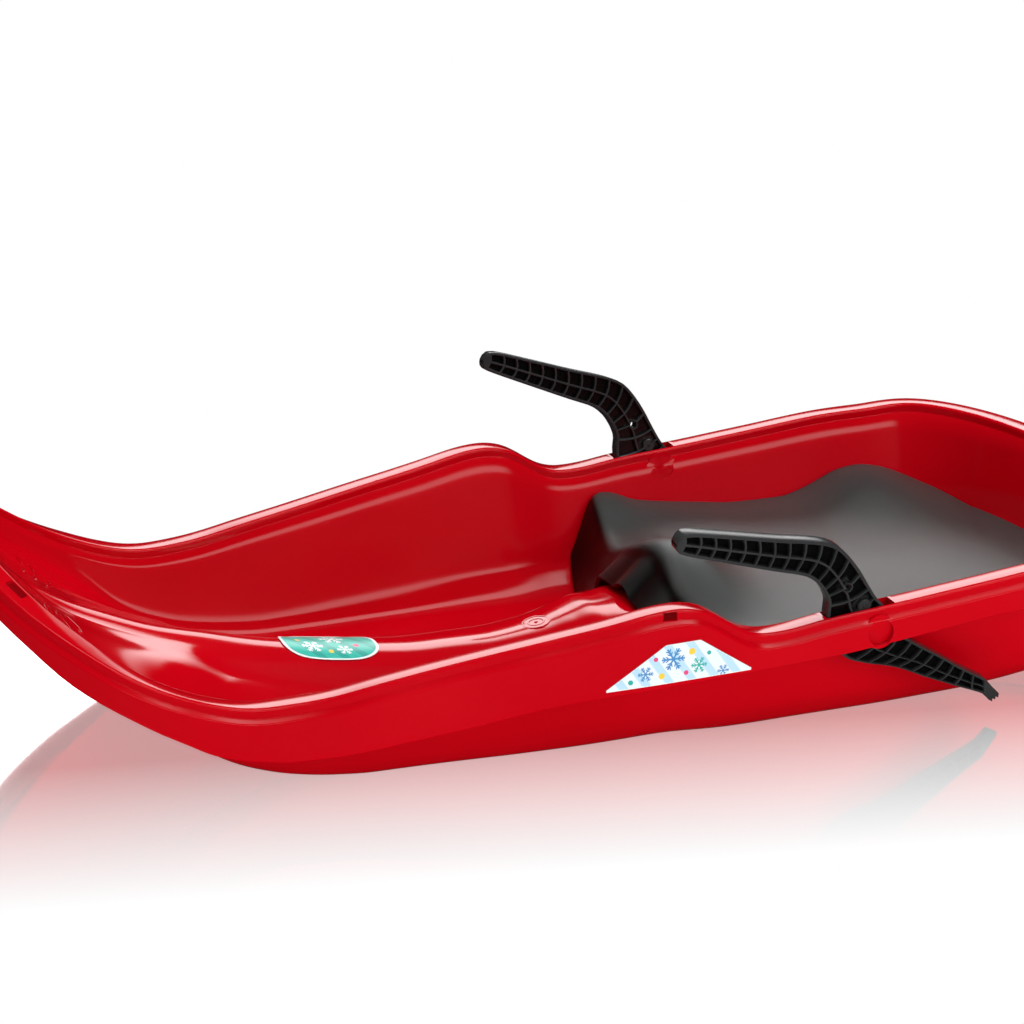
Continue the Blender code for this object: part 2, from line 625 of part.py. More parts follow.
def make_seat(parts, cutters, material):
    body = [x * MM for x in SEAT_STATIONS]
    stations = plan_stations(0, body + [TAIL_TIP - TAIL_ROUND], 6)
    normals = outward_normals([((body[0] - 0.01, rim_half(body[0])), 0)] + stations)[1:]
    arch_share = SEAT_ARCH_HALF / (rim_half(body[0]) - wall_reach(body[0], seat_side(body[0])))
    shares = (1.0, 0.91, 0.77, 0.61, 0.48, 0.40, 0.32, 0.24, 0.16, arch_share, arch_share / 2, 0.0)
    bow_end = seat_front_top(SEAT_FRONT_TOP[-1][0] * MM)
    columns = []
    for (edge, spine), normal in zip(stations, normals):
        outer = seat_edge(edge, spine, normal)
        side_height = seat_side(outer.x)
        column = []
        for share in shares:
            at = Vector((spine, 0)).lerp(outer, share)
            fade = 1 - ease((at.x - body[0]) / SEAT_BOW_LENGTH)
            x = at.x + (seat_front_top(abs(at.y)) - bow_end) * fade
            y = 0.0 if share == 0.0 else at.y
            column.append(Vector((x, y, seat_height(x, y, share, side_height))))
        columns.append(column)
    first = columns[0]
    face = []
    for drop in (1.0, 0.68, 0.36, 0.08):
        column = []
        for p in first:
            foot_x = seat_front_foot(p.y)
            foot_z = seat_foot_height(foot_x, min(p.y, seat_limit(foot_x, 0.030)))
            if p.y < SEAT_ARCH_HALF:
                foot_z += SEAT_ARCH_HEIGHT * (1 - (p.y / SEAT_ARCH_HALF) ** 2)
            x = mix(p.x - SEAT_FRONT_ROUND * 0.6, foot_x, drop)
            z = mix(p.z - SEAT_FRONT_ROUND * 0.4, foot_z, drop)
            y = min(p.y, seat_limit(x, z))
            column.append(Vector((x, y, z)))
        face.append(column)
    seat = add_object("seat", mesh_from_columns("seat", face + columns), material, parts)
    add_mirror(seat)
    add_thickness(seat, SEAT_SHEET)

    posts = bmesh.new()
    bores = bmesh.new()
    for side in (LEFT, RIGHT):
        for clip in clip_places(side):
            add_rod(posts, (clip.x, clip.y, clip.z + GAP), (clip.x, clip.y, post_top(clip)), POST_RADIUS, 20)
            add_rod(bores, (clip.x, clip.y, clip.z - 0.002), (clip.x, clip.y, clip.z + CLIP_GRIP + GAP),
                    CLIP_SHANK + GAP, 20)
    add_boolean(seat, make_cutter("seat_posts", posts, cutters), "UNION")
    add_boolean(seat, make_cutter("seat_bores", bores, cutters), "DIFFERENCE")
    return seat


def lever_section(s):
    """Lower point, upper point and half thickness at a place 0 to 1 along the lever."""
    count = len(LEVER_SECTIONS) - 1
    at = min(max(s, 0.0), 1.0) * count
    i = min(int(at), count - 1)
    t = at - i
    rows = [LEVER_SECTIONS[min(max(k, 0), count)] for k in (i - 1, i, i + 1, i + 2)]
    out = []
    for a, b, c, d in zip(*rows):
        out.append((b + 0.5 * t * (c - a + t * (2 * a - 5 * b + 4 * c - d + t * (3 * (b - c) + d - a)))) * MM)
    return Vector((out[0], out[1])), Vector((out[2], out[3])), out[4]


def lever_places():
    """Places along the lever at equal steps of its middle line."""
    fine = 400
    points = []
    for k in range(fine + 1):
        low, high, _ = lever_section(k / fine)
        points.append((low + high) / 2)
    run = [0.0]
    for a, b in zip(points, points[1:]):
        run.append(run[-1] + (b - a).length)
    places = []
    for k in range(LEVER_CELLS + 1):
        goal = run[-1] * k / LEVER_CELLS
        i = min(max(j for j in range(len(run)) if run[j] <= goal), fine - 1)
        places.append((i + (goal - run[i]) / (run[i + 1] - run[i])) / fine)
    return places


def lever_cells(places):
    """Corners of the pockets between the lever's ribs."""
    cells = []
    keep_clear = ((Vector((0, 0)), HUB_RADIUS + 0.004), (Vector(LEVER_HOLE) * MM, LEVER_HOLE_RADIUS + 0.002))
    for a, b in zip(places[1:], places[2:]):
        mid_a = sum(lever_section(a)[:2], Vector((0, 0))) / 2
        mid_b = sum(lever_section(b)[:2], Vector((0, 0))) / 2
        inset = (b - a) * LEVER_RIB / 2 / (mid_b - mid_a).length
        for lower in (True, False):
            corners = []
            for s in (a + inset, b - inset):
                low, high, _ = lever_section(s)
                wide = (high - low).length
                rib = LEVER_RIB / 2 / wide
                flange = LEVER_FLANGE / wide
                pair = (flange, RIB_HEIGHT_SHARE - rib) if lower else (RIB_HEIGHT_SHARE + rib, 1 - flange)
                corners.append([low.lerp(high, share) for share in pair])
            loop = [corners[0][0], corners[1][0], corners[1][1], corners[0][1]]
            middle = sum(loop, Vector((0, 0))) / 4
            height = min((corners[0][1] - corners[0][0]).length, (corners[1][1] - corners[1][0]).length)
            clear = all((middle - spot).length > reach for spot, reach in keep_clear)
            if height > 0.0025 and clear:
                cells.append(loop)
    return cells


def make_lever(name, side, lift, parts, cutters, material):
    """One brake lever: a flanged web with a lattice of ribs on both faces."""
    places = lever_places()
    bm = bmesh.new()
    rings = []
    for s in places:
        low, high, half = lever_section(s)
        corners = ((low, -half), (high, -half), (high, half), (low, half))
        rings.append([bm.verts.new((p.x, q, p.y)) for p, q in corners])
    bm.faces.new(list(reversed(rings[0])))
    bm.faces.new(rings[-1])
    for a, b in zip(rings, rings[1:]):
        for k in range(4):
            n = (k + 1) % 4
            bm.faces.new((a[k], a[n], b[n], b[k]))
    bmesh.ops.recalc_face_normals(bm, faces=bm.faces)
    mesh = bpy.data.meshes.new(name)
    bm.to_mesh(mesh)
    bm.free()
    lever = add_object(name, mesh, material, parts)
    lever.matrix_world = lever_frame(side) @ Matrix.Rotation(lift, 4, "Y")

    pockets = bmesh.new()
    for loop in lever_cells(places):
        for face in (-1, 1):
            ends = []
            for q in (LEVER_WEB / 2, 0.012):
                ends.append([pockets.verts.new((p.x, face * q, p.y)) for p in loop])
            pockets.faces.new(ends[0])
            pockets.faces.new(list(reversed(ends[1])))
            for k in range(4):
                n = (k + 1) % 4
                pockets.faces.new((ends[0][k], ends[1][k], ends[1][n], ends[0][n]))
    hub = bmesh.new()
    add_rod(hub, (0, -HUB_HALF, 0), (0, HUB_HALF, 0), HUB_RADIUS, 28)
    bores = bmesh.new()
    add_rod(bores, (0, -0.02, 0), (0, 0.02, 0), PIN_RADIUS + GAP, 24)
    hole = Vector(LEVER_HOLE) * MM
    add_rod(bores, (hole.x, -0.02, hole.y), (hole.x, 0.02, hole.y), LEVER_HOLE_RADIUS, 16)
    steps = (("pockets", pockets, "DIFFERENCE"), ("hub", hub, "UNION"), ("bores", bores, "DIFFERENCE"))
    for label, tool, operation in steps:
        helper = make_cutter(name + "_" + label, tool, cutters)
        helper.matrix_world = lever.matrix_world
        add_boolean(lever, helper, operation)
    return lever


def make_pin(name, side, parts, material):
    """The steel pin between the two blind sockets."""
    frame = lever_frame(side)
    reach = HUB_HALF + GAP + SOCKET_DEPTH - GAP
    bm = bmesh.new()
    add_rod(bm, (0, -reach, 0), (0, reach, 0), PIN_RADIUS, 24)
    mesh = bpy.data.meshes.new(name)
    bm.to_mesh(mesh)
    bm.free()
    pin = add_object(name, mesh, material, parts)
    pin.matrix_world = frame
    return pin


def make_clip(name, place, parts, material):
    """A push-in clip: a flat head under the floor and a shank up into the seat's post."""
    head_top = -SHEET - GAP
    profile = ((0, head_top - CLIP_HEAD_HEIGHT), (CLIP_HEAD * 0.8, head_top - CLIP_HEAD_HEIGHT),
               (CLIP_HEAD, head_top - CLIP_HEAD_HEIGHT * 0.5), (CLIP_HEAD, head_top),
               (CLIP_SHANK, head_top), (CLIP_SHANK, CLIP_GRIP - 0.002),
               (CLIP_SHANK * 0.7, CLIP_GRIP), (0, CLIP_GRIP))
    bm = bmesh.new()
    verts = [bm.verts.new((r, 0, z)) for r, z in profile]
    edges = [bm.edges.new(pair) for pair in zip(verts, verts[1:])]
    bmesh.ops.spin(bm, geom=verts + edges, cent=(0, 0, 0), axis=(0, 0, 1),
                   angle=2 * math.pi, steps=20, use_duplicate=False)
    bmesh.ops.remove_doubles(bm, verts=bm.verts, dist=0.00001)
    bmesh.ops.recalc_face_normals(bm, faces=bm.faces)
    mesh = bpy.data.meshes.new(name)
    bm.to_mesh(mesh)
    bm.free()
    clip = add_object(name, mesh, material, parts)
    clip.location = place
    return clip


def make_side_sticker(name, side, parts, material):
    """A sticker with sloping ends on the skirt."""
    start, end = SIDE_STICKER
    steps = 15
    columns = []
    for k in range(steps + 1):
        share = k / steps
        x = mix(start, end, share)
        full = min(share / SIDE_STICKER_SLOPES[0], (1 - share) / SIDE_STICKER_SLOPES[1], 1.0)
        low = skirt_edge(x) + mix(*SIDE_STICKER_LOW, share)
        high = low + mix(SIDE_STICKER_END, SIDE_STICKER_HEIGHT, full)
        top = rim_top(x) - RIM_SIDE - SHOULDER
        high = min(high, top - 0.003)
        column = []
        for z in (low, (low + high) / 2, high):
            flare = SKIRT_FLARE * (top - z) / (top - skirt_edge(x))
            y = rim_half(x) + RIM_WIDTH + SHOULDER + flare + GAP + STICKER_SHEET
            column.append(Vector((x, side * y, z)))
        columns.append(column if side == RIGHT else list(reversed(column)))
    sticker = add_object(name, mesh_from_columns(name, columns), material, parts)
    add_thickness(sticker, STICKER_SHEET)
    return sticker


def make_ridge_sticker(parts, material):
    """A sticker laid over the ridge between the footwells."""
    start, end = RIDGE_STICKER
    columns = []
    steps = 10
    for k in range(steps + 1):
        share = k / steps
        x = mix(start, end, share)
        half = RIDGE_STICKER_HALF * (0.55 + 0.45 * ease(min(share, 1 - share) / 0.22))
        column = []
        for across in (1.0, 0.6, 0.2, -0.2, -0.6, -1.0):
            y = across * half
            z = floor_height(x, y) + GAP * 2 + STICKER_SHEET
            column.append(Vector((x, y, z)))
        columns.append(column)
    sticker = add_object("ridge_sticker", mesh_from_columns("ridge_sticker", columns), material, parts)
    add_thickness(sticker, STICKER_SHEET)
    return sticker


def main():
    parts, cutters = remove_all()
    red = make_material("red_plastic", (0.60, 0.0, 0.006), 0.22)
    grey = make_material("dark_grey_plastic", (0.035, 0.037, 0.037), 0.5)
    black = make_material("black_plastic", (0.008, 0.008, 0.008), 0.35)
    steel = make_material("steel", (0.55, 0.56, 0.58), 0.3, 1.0)
    white = make_material("white_sticker", (0.80, 0.86, 0.90), 0.3)
    teal = make_material("teal_sticker", (0.03, 0.42, 0.36), 0.3)

    make_hull(parts, cutters, red)
    make_seat(parts, cutters, grey)
    make_lever("brake_lever_left", LEFT, 0.0, parts, cutters, black)
    make_lever("brake_lever_right", RIGHT, RIGHT_LEVER_RAISE, parts, cutters, black)
    make_pin("pivot_pin_left", LEFT, parts, steel)
    make_pin("pivot_pin_right", RIGHT, parts, steel)
    for side, label in ((LEFT, "left"), (RIGHT, "right")):
        for place, row in zip(clip_places(side), ("front", "rear")):
            make_clip(f"seat_clip_{row}_{label}", place, parts, black)
    make_side_sticker("side_sticker_left", LEFT, parts, white)
    make_side_sticker("side_sticker_right", RIGHT, parts, white)
    make_ridge_sticker(parts, teal)


main()
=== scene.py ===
import math

import bmesh
import bpy
from mathutils import Matrix, Vector


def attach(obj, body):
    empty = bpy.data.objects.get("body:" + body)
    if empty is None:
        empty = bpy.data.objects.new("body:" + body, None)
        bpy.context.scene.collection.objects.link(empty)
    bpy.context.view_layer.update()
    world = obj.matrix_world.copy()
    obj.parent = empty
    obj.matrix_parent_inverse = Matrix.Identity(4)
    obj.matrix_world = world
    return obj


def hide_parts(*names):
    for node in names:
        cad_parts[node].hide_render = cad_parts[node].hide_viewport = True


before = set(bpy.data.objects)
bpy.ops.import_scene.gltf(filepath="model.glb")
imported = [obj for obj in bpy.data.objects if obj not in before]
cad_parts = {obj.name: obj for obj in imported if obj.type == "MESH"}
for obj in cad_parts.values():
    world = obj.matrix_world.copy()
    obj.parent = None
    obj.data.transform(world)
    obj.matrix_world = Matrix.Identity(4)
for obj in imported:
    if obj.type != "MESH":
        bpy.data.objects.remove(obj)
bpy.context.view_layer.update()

MM = 0.001
GAP = 0.0003
LEFT, RIGHT = -1, 1

# Hull sizes, the same as the solid part's
SHEET = 0.0025
NOSE_TIP = -0.5825
NOSE_ROUND = 0.1325
TAIL_TIP = 0.3275
TAIL_ROUND = 0.0925
TAIL_FULLNESS = 2.4
DATUM_X = -(NOSE_TIP + TAIL_TIP) / 2
RIM_WIDTH = 0.0185
RIM_EDGE = 0.0028
RIM_SIDE = 0.0070
SHOULDER = 0.0033
SKIRT_FLARE = 0.0007
WALL_RISE = 3.4
WALL_FILLET = 0.008
FLOOR_FILLET = 0.012
RIDGE_CROWN = 0.0045            # how much lower the ridge's edges are than its middle
CROWN_END = (-0.090, -0.050)    # where the ridge's top becomes flat, under the seat
RIDGE_FLANK = 0.024
ARCH_START = 0.035
ARCH_EDGE = 0.116
NOSE_SPINE = 0.075
TAIL_SPINE = 0.075
BELLY_SHAVE = 0.0003

# Profiles along the hull: (aft of the datum, size), in millimetres
RIM_TOP = ((-582.5, 201), (-560, 177), (-540, 154), (-520, 137), (-480, 106), (-440, 86), (-400, 76.4),
           (-360, 78.4), (-320, 85.5), (-240, 99.2), (-160, 112.4), (-118, 119.9), (-104, 120), (-85, 113.1),
           (-70, 101.9), (-55, 93.8), (-35, 93.4), (0, 98.4), (60, 104), (120, 110.3), (200, 117.9),
           (235, 118.5), (260, 121), (310, 118), (327.5, 117))
RIM_HALF = ((-450, 162.2), (-400, 163), (-340, 168), (-280, 172.6), (-200, 181.7), (-115, 189.6), (-50, 190),
            (235, 190))
SKIRT_EDGE = ((-582.5, 181), (-560, 159), (-536, 130), (-511, 102), (-478.5, 77), (-459, 63.5), (-432, 48),
              (-405, 40.6), (-377.5, 37.3), (-350, 38), (-293, 44), (-245, 51), (-200, 58.5), (-133, 64.3),
              (-60, 68.3), (9, 72), (56, 77), (150, 87.5), (327.5, 93))
BELLY = ((-582.5, 175), (-550, 143), (-518, 111), (-480, 79), (-450, 55), (-423, 30.5), (-396, 16),
         (-368, 7), (-339, 2.3), (-310, 0), (60, 0), (135, 2), (168.5, 5.5), (193, 9.5), (230, 17.5),
         (327.5, 31))
WALL_BEND = ((-582.5, 2), (-450, 5), (-430, 8), (-400, 13), (-360, 16), (-300, 17.5), (-250, 20),
             (-200, 22), (-120, 23), (100, 23), (200, 18), (327.5, 8))
LOW_WALL_RISE = ((-582.5, 1800), (-220, 1800), (-50, 1150), (327.5, 1150))
ARCH = ((-582.5, 183), (-550, 150), (-500, 103), (-450, 76), (-420, 65), (-385, 46.6), (-320, 31),
        (-250, 23), (-150, 19), (0, 19), (327.5, 35))
RIDGE_TOP = ((-582.5, 183), (-550, 151), (-520, 121), (-495, 104), (-465, 90), (-430, 76), (-390, 65),
             (-350, 54.5), (-310, 47), (-270, 41.5), (-220, 37.5), (-180, 37.5), (-140, 41.2), (-115, 47),
             (-95, 51.5), (-50, 51.5), (25, 48), (65, 48), (90, 46), (170, 42.5), (210, 42.5), (250, 41),
             (327.5, 38))
RIDGE_HALF = ((-500, 12), (-430, 16), (-350, 19), (-310, 22.5), (-220, 26), (-140, 30), (-90, 36),
              (-58, 38), (-32, 90), (0, 92), (327.5, 92))

# Features of the hull
SLOT_START = 0.0008
SLOT_LENGTH = 0.0527
WINDOW_AT = -0.1193
WINDOW_LENGTH = 0.0100
WINDOW_HEIGHT = 0.0060
WINDOW_LIP = 0.0010             # left between the window and the top of the rim
WINDOW_DEPTH = 0.0090
CORD_SLOT_TURN = 45
CORD_SLOT_OFF = 0.0070
CORD_SLOT_LENGTH = 0.016
CORD_SLOT_WIDTH = 0.007
FOOT_RIBS = ((-509, 104), (-501, 97), (-494, 58))
FOOT_RIB_START = 0.030
FOOT_RIB_HALF = 0.0011
# A foot rib's outline: (along, in halves of its width, and height)
FOOT_RIB_SECTION = ((-1.0, -0.0018), (-0.85, 0), (-0.45, 0.0006), (0, 0.0008), (0.45, 0.0006), (0.85, 0),
                    (1.0, -0.0018))
FOOT_RIB_LIFT = 0.0003
FOOT_RIB_SINK = 0.0016          # how far its ends go under, within this share of its length
FOOT_RIB_FADE = 0.10
FOOT_RIB_BOW = 0.006
CLIPS = ((0.045, 0.062), (0.190, 0.070))        # aft of the datum, from the middle
CLIP_HOLE_RADIUS = 0.0033
DISC_AT = -0.1393
DISC_RADIUS = 0.0110
DISC_RING = 0.0013

# Levers and pivots
PIVOT_AT = 0.0400
PIVOT_DROP = 0.0155
LEVER_LEAN = math.radians(8)
HUB_RADIUS = 0.0072
HUB_HALF = 0.0057
BOSS_RADIUS = 0.0123
RECESS_RADIUS = 0.0098
RECESS_FILL = 0.0038            # how much shallower than the solid part's the recesses are
BOSS_FLOOR = 0.0025
PIN_RADIUS = 0.0040
RIGHT_LEVER_RAISE = math.radians(6.5)
LEVER_WEB = 0.0024
PADDLE_SLANT = -0.022
LEVER_BOW = 0.0032
LEVER_HOLE = (-24.7, 34)
LEVER_HOLE_RADIUS = 0.0028
LEVER_COLLAR = 0.0012           # wall of the collar round the hole
LEVER_COLLAR_HALF = 0.0049
LEVER_RIB = 0.0016              # thickness of a rib
LEVER_PITCH = 0.0116            # from one cross rib to the next
LEVER_CELLS_FROM = 0.0044
LEVER_CELLS_TO = 0.012          # left plain at the other end
LEVER_DRAFT = 0.0004            # lean of a rib's sides
LEVER_CUT = 0.0004              # cut edge of a rib
LEVER_FLANGE = 0.0024
LEVER_EDGE = 0.0008             # rounding of the outer edges
LEVER_LONG_RIB = 0.47           # share of the width at which it lies
LEVER_PLAIN_WIDTH = 0.0105      # a narrower place has no pockets
LEVER_HUB_CLEAR = 0.003         # plain round the hub
LEVER_END_FADE = 0.006
PADDLE_FROM = 8.4               # the section from which the cross ribs lean
PADDLE_LEAN_IN = 0.05
PADDLE_LEAN_OUT = 0.03
# Lever sections in its own plane, in millimetres from the pivot:
# lower edge x, z, upper edge x, z, half of the thickness
LEVER_SECTIONS = ((-158.2, 80.5, -157.8, 85.5, 4.3), (-156, 77.3, -153.5, 90.2, 5.5),
                  (-147.5, 73.6, -144, 90.6, 5.5), (-118.5, 64.8, -116, 85.4, 5.5),
                  (-84, 54.6, -80.5, 78.4, 5.5), (-60, 47.8, -51.5, 73.2, 5.5),
                  (-49.5, 41.2, -36.5, 67.8, 5.5), (-43.5, 34, -26, 58.5, 5.5), (-40.6, 29, -16.5, 46.5, 5.4),
                  (-38.4, 23, -7.5, 32.5, 5.3), (-38.3, 11, 0.5, 21, 5.3), (-34, -4, 10, 11, 5.3),
                  (-22, -21, 21, -8, 5.3), (-5, -28.5, 38, -20.5, 5.3), (20, -35.5, 57, -32.5, 5.3),
                  (45, -47, 76, -45, 5.3), (70, -57.8, 92.5, -54.5, 5.3), (93, -67.5, 101.5, -60, 5.3),
                  (101.5, -75.2, 108.5, -71.5, 4.6))
CLAW_TEETH = 3                  # teeth across the end of the lower arm
CLAW_TOOTH = 0.0021             # from a tooth's middle to its edge
CLAW_INSET = 0.0006             # from the lever's face to a tooth's end
STOP_AT = (-0.0098, 0.0174)     # the round stop beside the hub, in the lever's plane
STOP_PROFILE = ((0, 0.0058), (0.0012, 0.0058), (0.0016, 0.0050), (0.0044, 0.0050), (0.0052, 0.0044))

# Seat
SEAT_SHEET = 0.0030
SEAT_CLEAR = 0.0016
SEAT_FRONT_ROUND = 0.010
SEAT_CENTRE = ((-38, 89), (-30, 91), (-14, 87), (8, 74), (35, 63), (70, 57), (110, 53.5), (160, 52),
               (220, 50.5), (290, 47))
SEAT_PAN = ((-38, 56), (-10, 56), (40, 55), (110, 53.5), (160, 52), (220, 50.5), (290, 47))
SEAT_SIDE = ((-30, 72), (-20, 75), (-10, 74.5), (14, 66.5), (68, 59.5), (102, 56.5), (140, 57), (158, 61),
             (176, 67.5), (194, 74), (212, 76), (231, 73), (250, 66), (264, 60), (276, 55), (290, 48))
SEAT_START = -0.020
SEAT_FRONT_TOP = ((0, -38), (50, -43), (80, -41), (150, -27), (180, -22))
SEAT_FRONT_FOOT = ((0, -71), (40, -71), (80, -67), (120, -58), (180, -44))
SEAT_POMMEL_HALF = 0.115
SEAT_LOBE_FRONT = 0.66
SEAT_LOBE_REAR = 0.25
SEAT_LOBE_LENGTH = 0.150
SEAT_BOW_LENGTH = 0.070
SEAT_ARCH_HALF = 0.016
SEAT_ARCH_HEIGHT = 0.007

# Stickers
STICKER_SHEET = 0.0004
SIDE_STICKER = (-0.166, -0.060)
SIDE_STICKER_LOW = (0.0046, 0.0026)
SIDE_STICKER_END = 0.0015
SIDE_STICKER_HEIGHT = 0.028
SIDE_STICKER_SLOPES = (0.40, 0.36)
RIDGE_STICKER = (-0.338, -0.265)
RIDGE_STICKER_HALF = 0.025
RIDGE_STICKER_POWER = 2.8        # 2 is an ellipse and more is squarer


def curve_through(points):
    """A smooth curve through (place, size) points in millimetres, without overshoot."""
    xs = [p[0] * MM for p in points]
    ys = [p[1] * MM for p in points]
    rise = [(ys[i + 1] - ys[i]) / (xs[i + 1] - xs[i]) for i in range(len(xs) - 1)]
    slope = [rise[0]]
    for before, after in zip(rise, rise[1:]):
        slope.append(2 * before * after / (before + after) if before * after > 0 else 0.0)
    slope.append(rise[-1])

    def value(x):
        x = min(max(x, xs[0]), xs[-1])
        i = max(k for k in range(len(xs) - 1) if xs[k] <= x)
        h = xs[i + 1] - xs[i]
        t = (x - xs[i]) / h
        return (ys[i] * (2 * t**3 - 3 * t**2 + 1) + slope[i] * h * (t**3 - 2 * t**2 + t)
                + ys[i + 1] * (3 * t**2 - 2 * t**3) + slope[i + 1] * h * (t**3 - t**2))
    return value


def softened(curve, start, end, reach):
    """The curve's average over a short stretch, which takes the corners out of it."""
    def average(x):
        near = max(min(reach, x - start, end - x), 0)
        return sum(curve(x + near * k / 4) for k in range(-4, 5)) / 9
    return average


def ease(t):
    """0 to 1 with level ends."""
    t = min(max(t, 0.0), 1.0)
    return t * t * (3 - 2 * t)


def mix(a, b, t):
    return a + (b - a) * t


rim_top = softened(curve_through(RIM_TOP), NOSE_TIP, TAIL_TIP, 0.014)
rim_half = curve_through(RIM_HALF)
skirt_edge = curve_through(SKIRT_EDGE)
belly = curve_through(BELLY)
wall_bend = curve_through(WALL_BEND)
low_wall_rise = curve_through(LOW_WALL_RISE)
arch = curve_through(ARCH)
ridge_top = curve_through(RIDGE_TOP)
ridge_half = curve_through(RIDGE_HALF)
seat_centre = curve_through(SEAT_CENTRE)
seat_pan = curve_through(SEAT_PAN)
seat_side = curve_through(SEAT_SIDE)
seat_front_top = curve_through(SEAT_FRONT_TOP)
seat_front_foot = curve_through(SEAT_FRONT_FOOT)


def wall_reach(x, z):
    """How far inside the rim's inner edge the tub's wall is at height z."""
    return SHOULDER + max(rim_top(x) - RIM_SIDE - SHOULDER - z, 0.0) / WALL_RISE


def trough_height(x):
    return belly(x) + SHEET - BELLY_SHAVE


def floor_height(x, y):
    """Upper face of the tub's floor: flat troughs, an arch between them and the ridge on it."""
    y = abs(y)
    trough = trough_height(x)
    arched = max(arch(x), trough)
    half = ridge_half(x)
    z = mix(arched, trough, ease((y - ARCH_START) / (ARCH_EDGE - ARCH_START)))
    crown = RIDGE_CROWN * (1 - ease((x - CROWN_END[0]) / (CROWN_END[1] - CROWN_END[0])))
    crest = ridge_top(x) - crown * min(y / half, 1.0) ** 2
    return mix(max(crest, z), z, ease((y - half) / RIDGE_FLANK))


def rounded_max(a, b, reach):
    return max(a, b) + max(reach - abs(a - b), 0.0) ** 2 / (4 * reach)


def bend_reach(x):
    """How far inside the rim's inner edge the wall turns to its lower slope."""
    return wall_reach(x, trough_height(x) + wall_bend(x))


def foot_reach(x):
    """How far inside the rim's inner edge the lower slope meets the trough."""
    return bend_reach(x) + wall_bend(x) / low_wall_rise(x)


def tub_height(x, y, inward):
    """Upper face of the tub at a point that lies so far inside the rim's inner edge."""
    brim = rim_top(x) - RIM_SIDE - SHOULDER
    floor = floor_height(x, y)
    wall = brim - (inward - SHOULDER) * WALL_RISE
    lower = trough_height(x) + wall_bend(x) - (inward - bend_reach(x)) * low_wall_rise(x)
    wall = rounded_max(wall, lower, WALL_FILLET)
    return rounded_max(wall, floor, min(FLOOR_FILLET, max(brim - floor, 0.004)))


def plan_stations(nose_steps, body, tail_steps):
    """Points of the rim's inner edge, tip to tip on the right side, with the spine point of each."""
    stations = []
    nose_end = NOSE_TIP + NOSE_ROUND
    for i in range(nose_steps):
        turn = math.pi / 2 * i / nose_steps
        edge = (nose_end - NOSE_ROUND * math.cos(turn), rim_half(nose_end) * math.sin(turn))
        spine = nose_end - (NOSE_ROUND - NOSE_SPINE) * math.cos(turn)
        stations.append((edge, spine))
    for x in body:
        stations.append(((x, rim_half(x)), x))
    tail_start = TAIL_TIP - TAIL_ROUND
    power = 2 / TAIL_FULLNESS
    for i in range(1, tail_steps + 1):
        turn = math.pi / 2 * i / tail_steps
        across = rim_half(tail_start) * max(math.cos(turn), 0.0) ** power
        along = math.sin(turn) ** power
        if i == tail_steps:
            across = 0.0
        edge = (tail_start + TAIL_ROUND * along, across)
        stations.append((edge, tail_start + (TAIL_ROUND - TAIL_SPINE) * along))
    return stations


def outward_normals(stations):
    """Plan normals of the rim's inner edge, square to the sled at both tips."""
    normals = []
    last = len(stations) - 1
    for i in range(last + 1):
        if i == 0:
            normals.append(Vector((-1, 0)))
        elif i == last:
            normals.append(Vector((1, 0)))
        else:
            ahead = Vector(stations[i + 1][0]) - Vector(stations[i][0])
            behind = Vector(stations[i][0]) - Vector(stations[i - 1][0])
            along = ahead.normalized() + behind.normalized()
            normals.append(Vector((-along.y, along.x)).normalized())
    return normals


def inward_point(edge, spine, normal, share):
    """A point on the curved line from the rim's inner edge to the spine."""
    start = Vector(edge)
    end = Vector((spine, 0.0))
    middle = start - normal * (end - start).length * 0.5
    return start * (1 - share) ** 2 + middle * 2 * share * (1 - share) + end * share**2


def round_corners(points, radii, steps):
    """A polyline with its inner corners rounded by circular arcs."""
    out = [Vector(points[0])]
    for i in range(1, len(points) - 1):
        corner = Vector(points[i])
        if radii[i] == 0:
            out.append(corner)
            continue
        back = (Vector(points[i - 1]) - corner).normalized()
        ahead = (Vector(points[i + 1]) - corner).normalized()
        half = back.angle(ahead) / 2
        centre = corner + (back + ahead).normalized() * radii[i] / math.sin(half)
        first = corner + back * radii[i] / math.tan(half) - centre
        last = corner + ahead * radii[i] / math.tan(half) - centre
        sweep = math.pi - 2 * half
        for k in range(steps + 1):
            t = k / steps
            way = first * math.sin((1 - t) * sweep) + last * math.sin(t * sweep)
            out.append(centre + way / math.sin(sweep))
    out.append(Vector(points[-1]))
    return out


def spaced(start, end, step):
    """Evenly spaced places from start up to, but without, end."""
    count = max(round((end - start) / step), 1)
    return [mix(start, end, k / count) for k in range(count)]


def mesh_of(bm, name):
    mesh = bpy.data.meshes.new(name)
    bm.to_mesh(mesh)
    bm.free()
    return mesh


def quad_sheet(bm, rows, flip=False):
    """Quads between neighbouring rows of points."""
    for a, b in zip(rows, rows[1:]):
        for j in range(len(a) - 1):
            loop = (a[j], a[j + 1], b[j + 1], b[j])
            bm.faces.new(tuple(reversed(loop)) if flip else loop)


def skin(bm, a, b):
    """Quads between two closed rings with the same number of points."""
    for k in range(len(a)):
        n = (k + 1) % len(a)
        bm.faces.new((a[k], b[k], b[n], a[n]))


def skin_rings(bm, rings):
    """A closed form from rings of points, with a flat face at both ends."""
    bm.faces.new(rings[0])
    bm.faces.new(list(reversed(rings[-1])))
    for a, b in zip(rings, rings[1:]):
        skin(bm, a, b)


def mesh_from_columns(name, columns):
    """A sheet of quads from columns of points measured from the datum."""
    bm = bmesh.new()
    quad_sheet(bm, [[bm.verts.new((p.x + DATUM_X, p.y, p.z)) for p in column] for column in columns])
    bmesh.ops.remove_doubles(bm, verts=bm.verts, dist=0.000001)
    return mesh_of(bm, name)


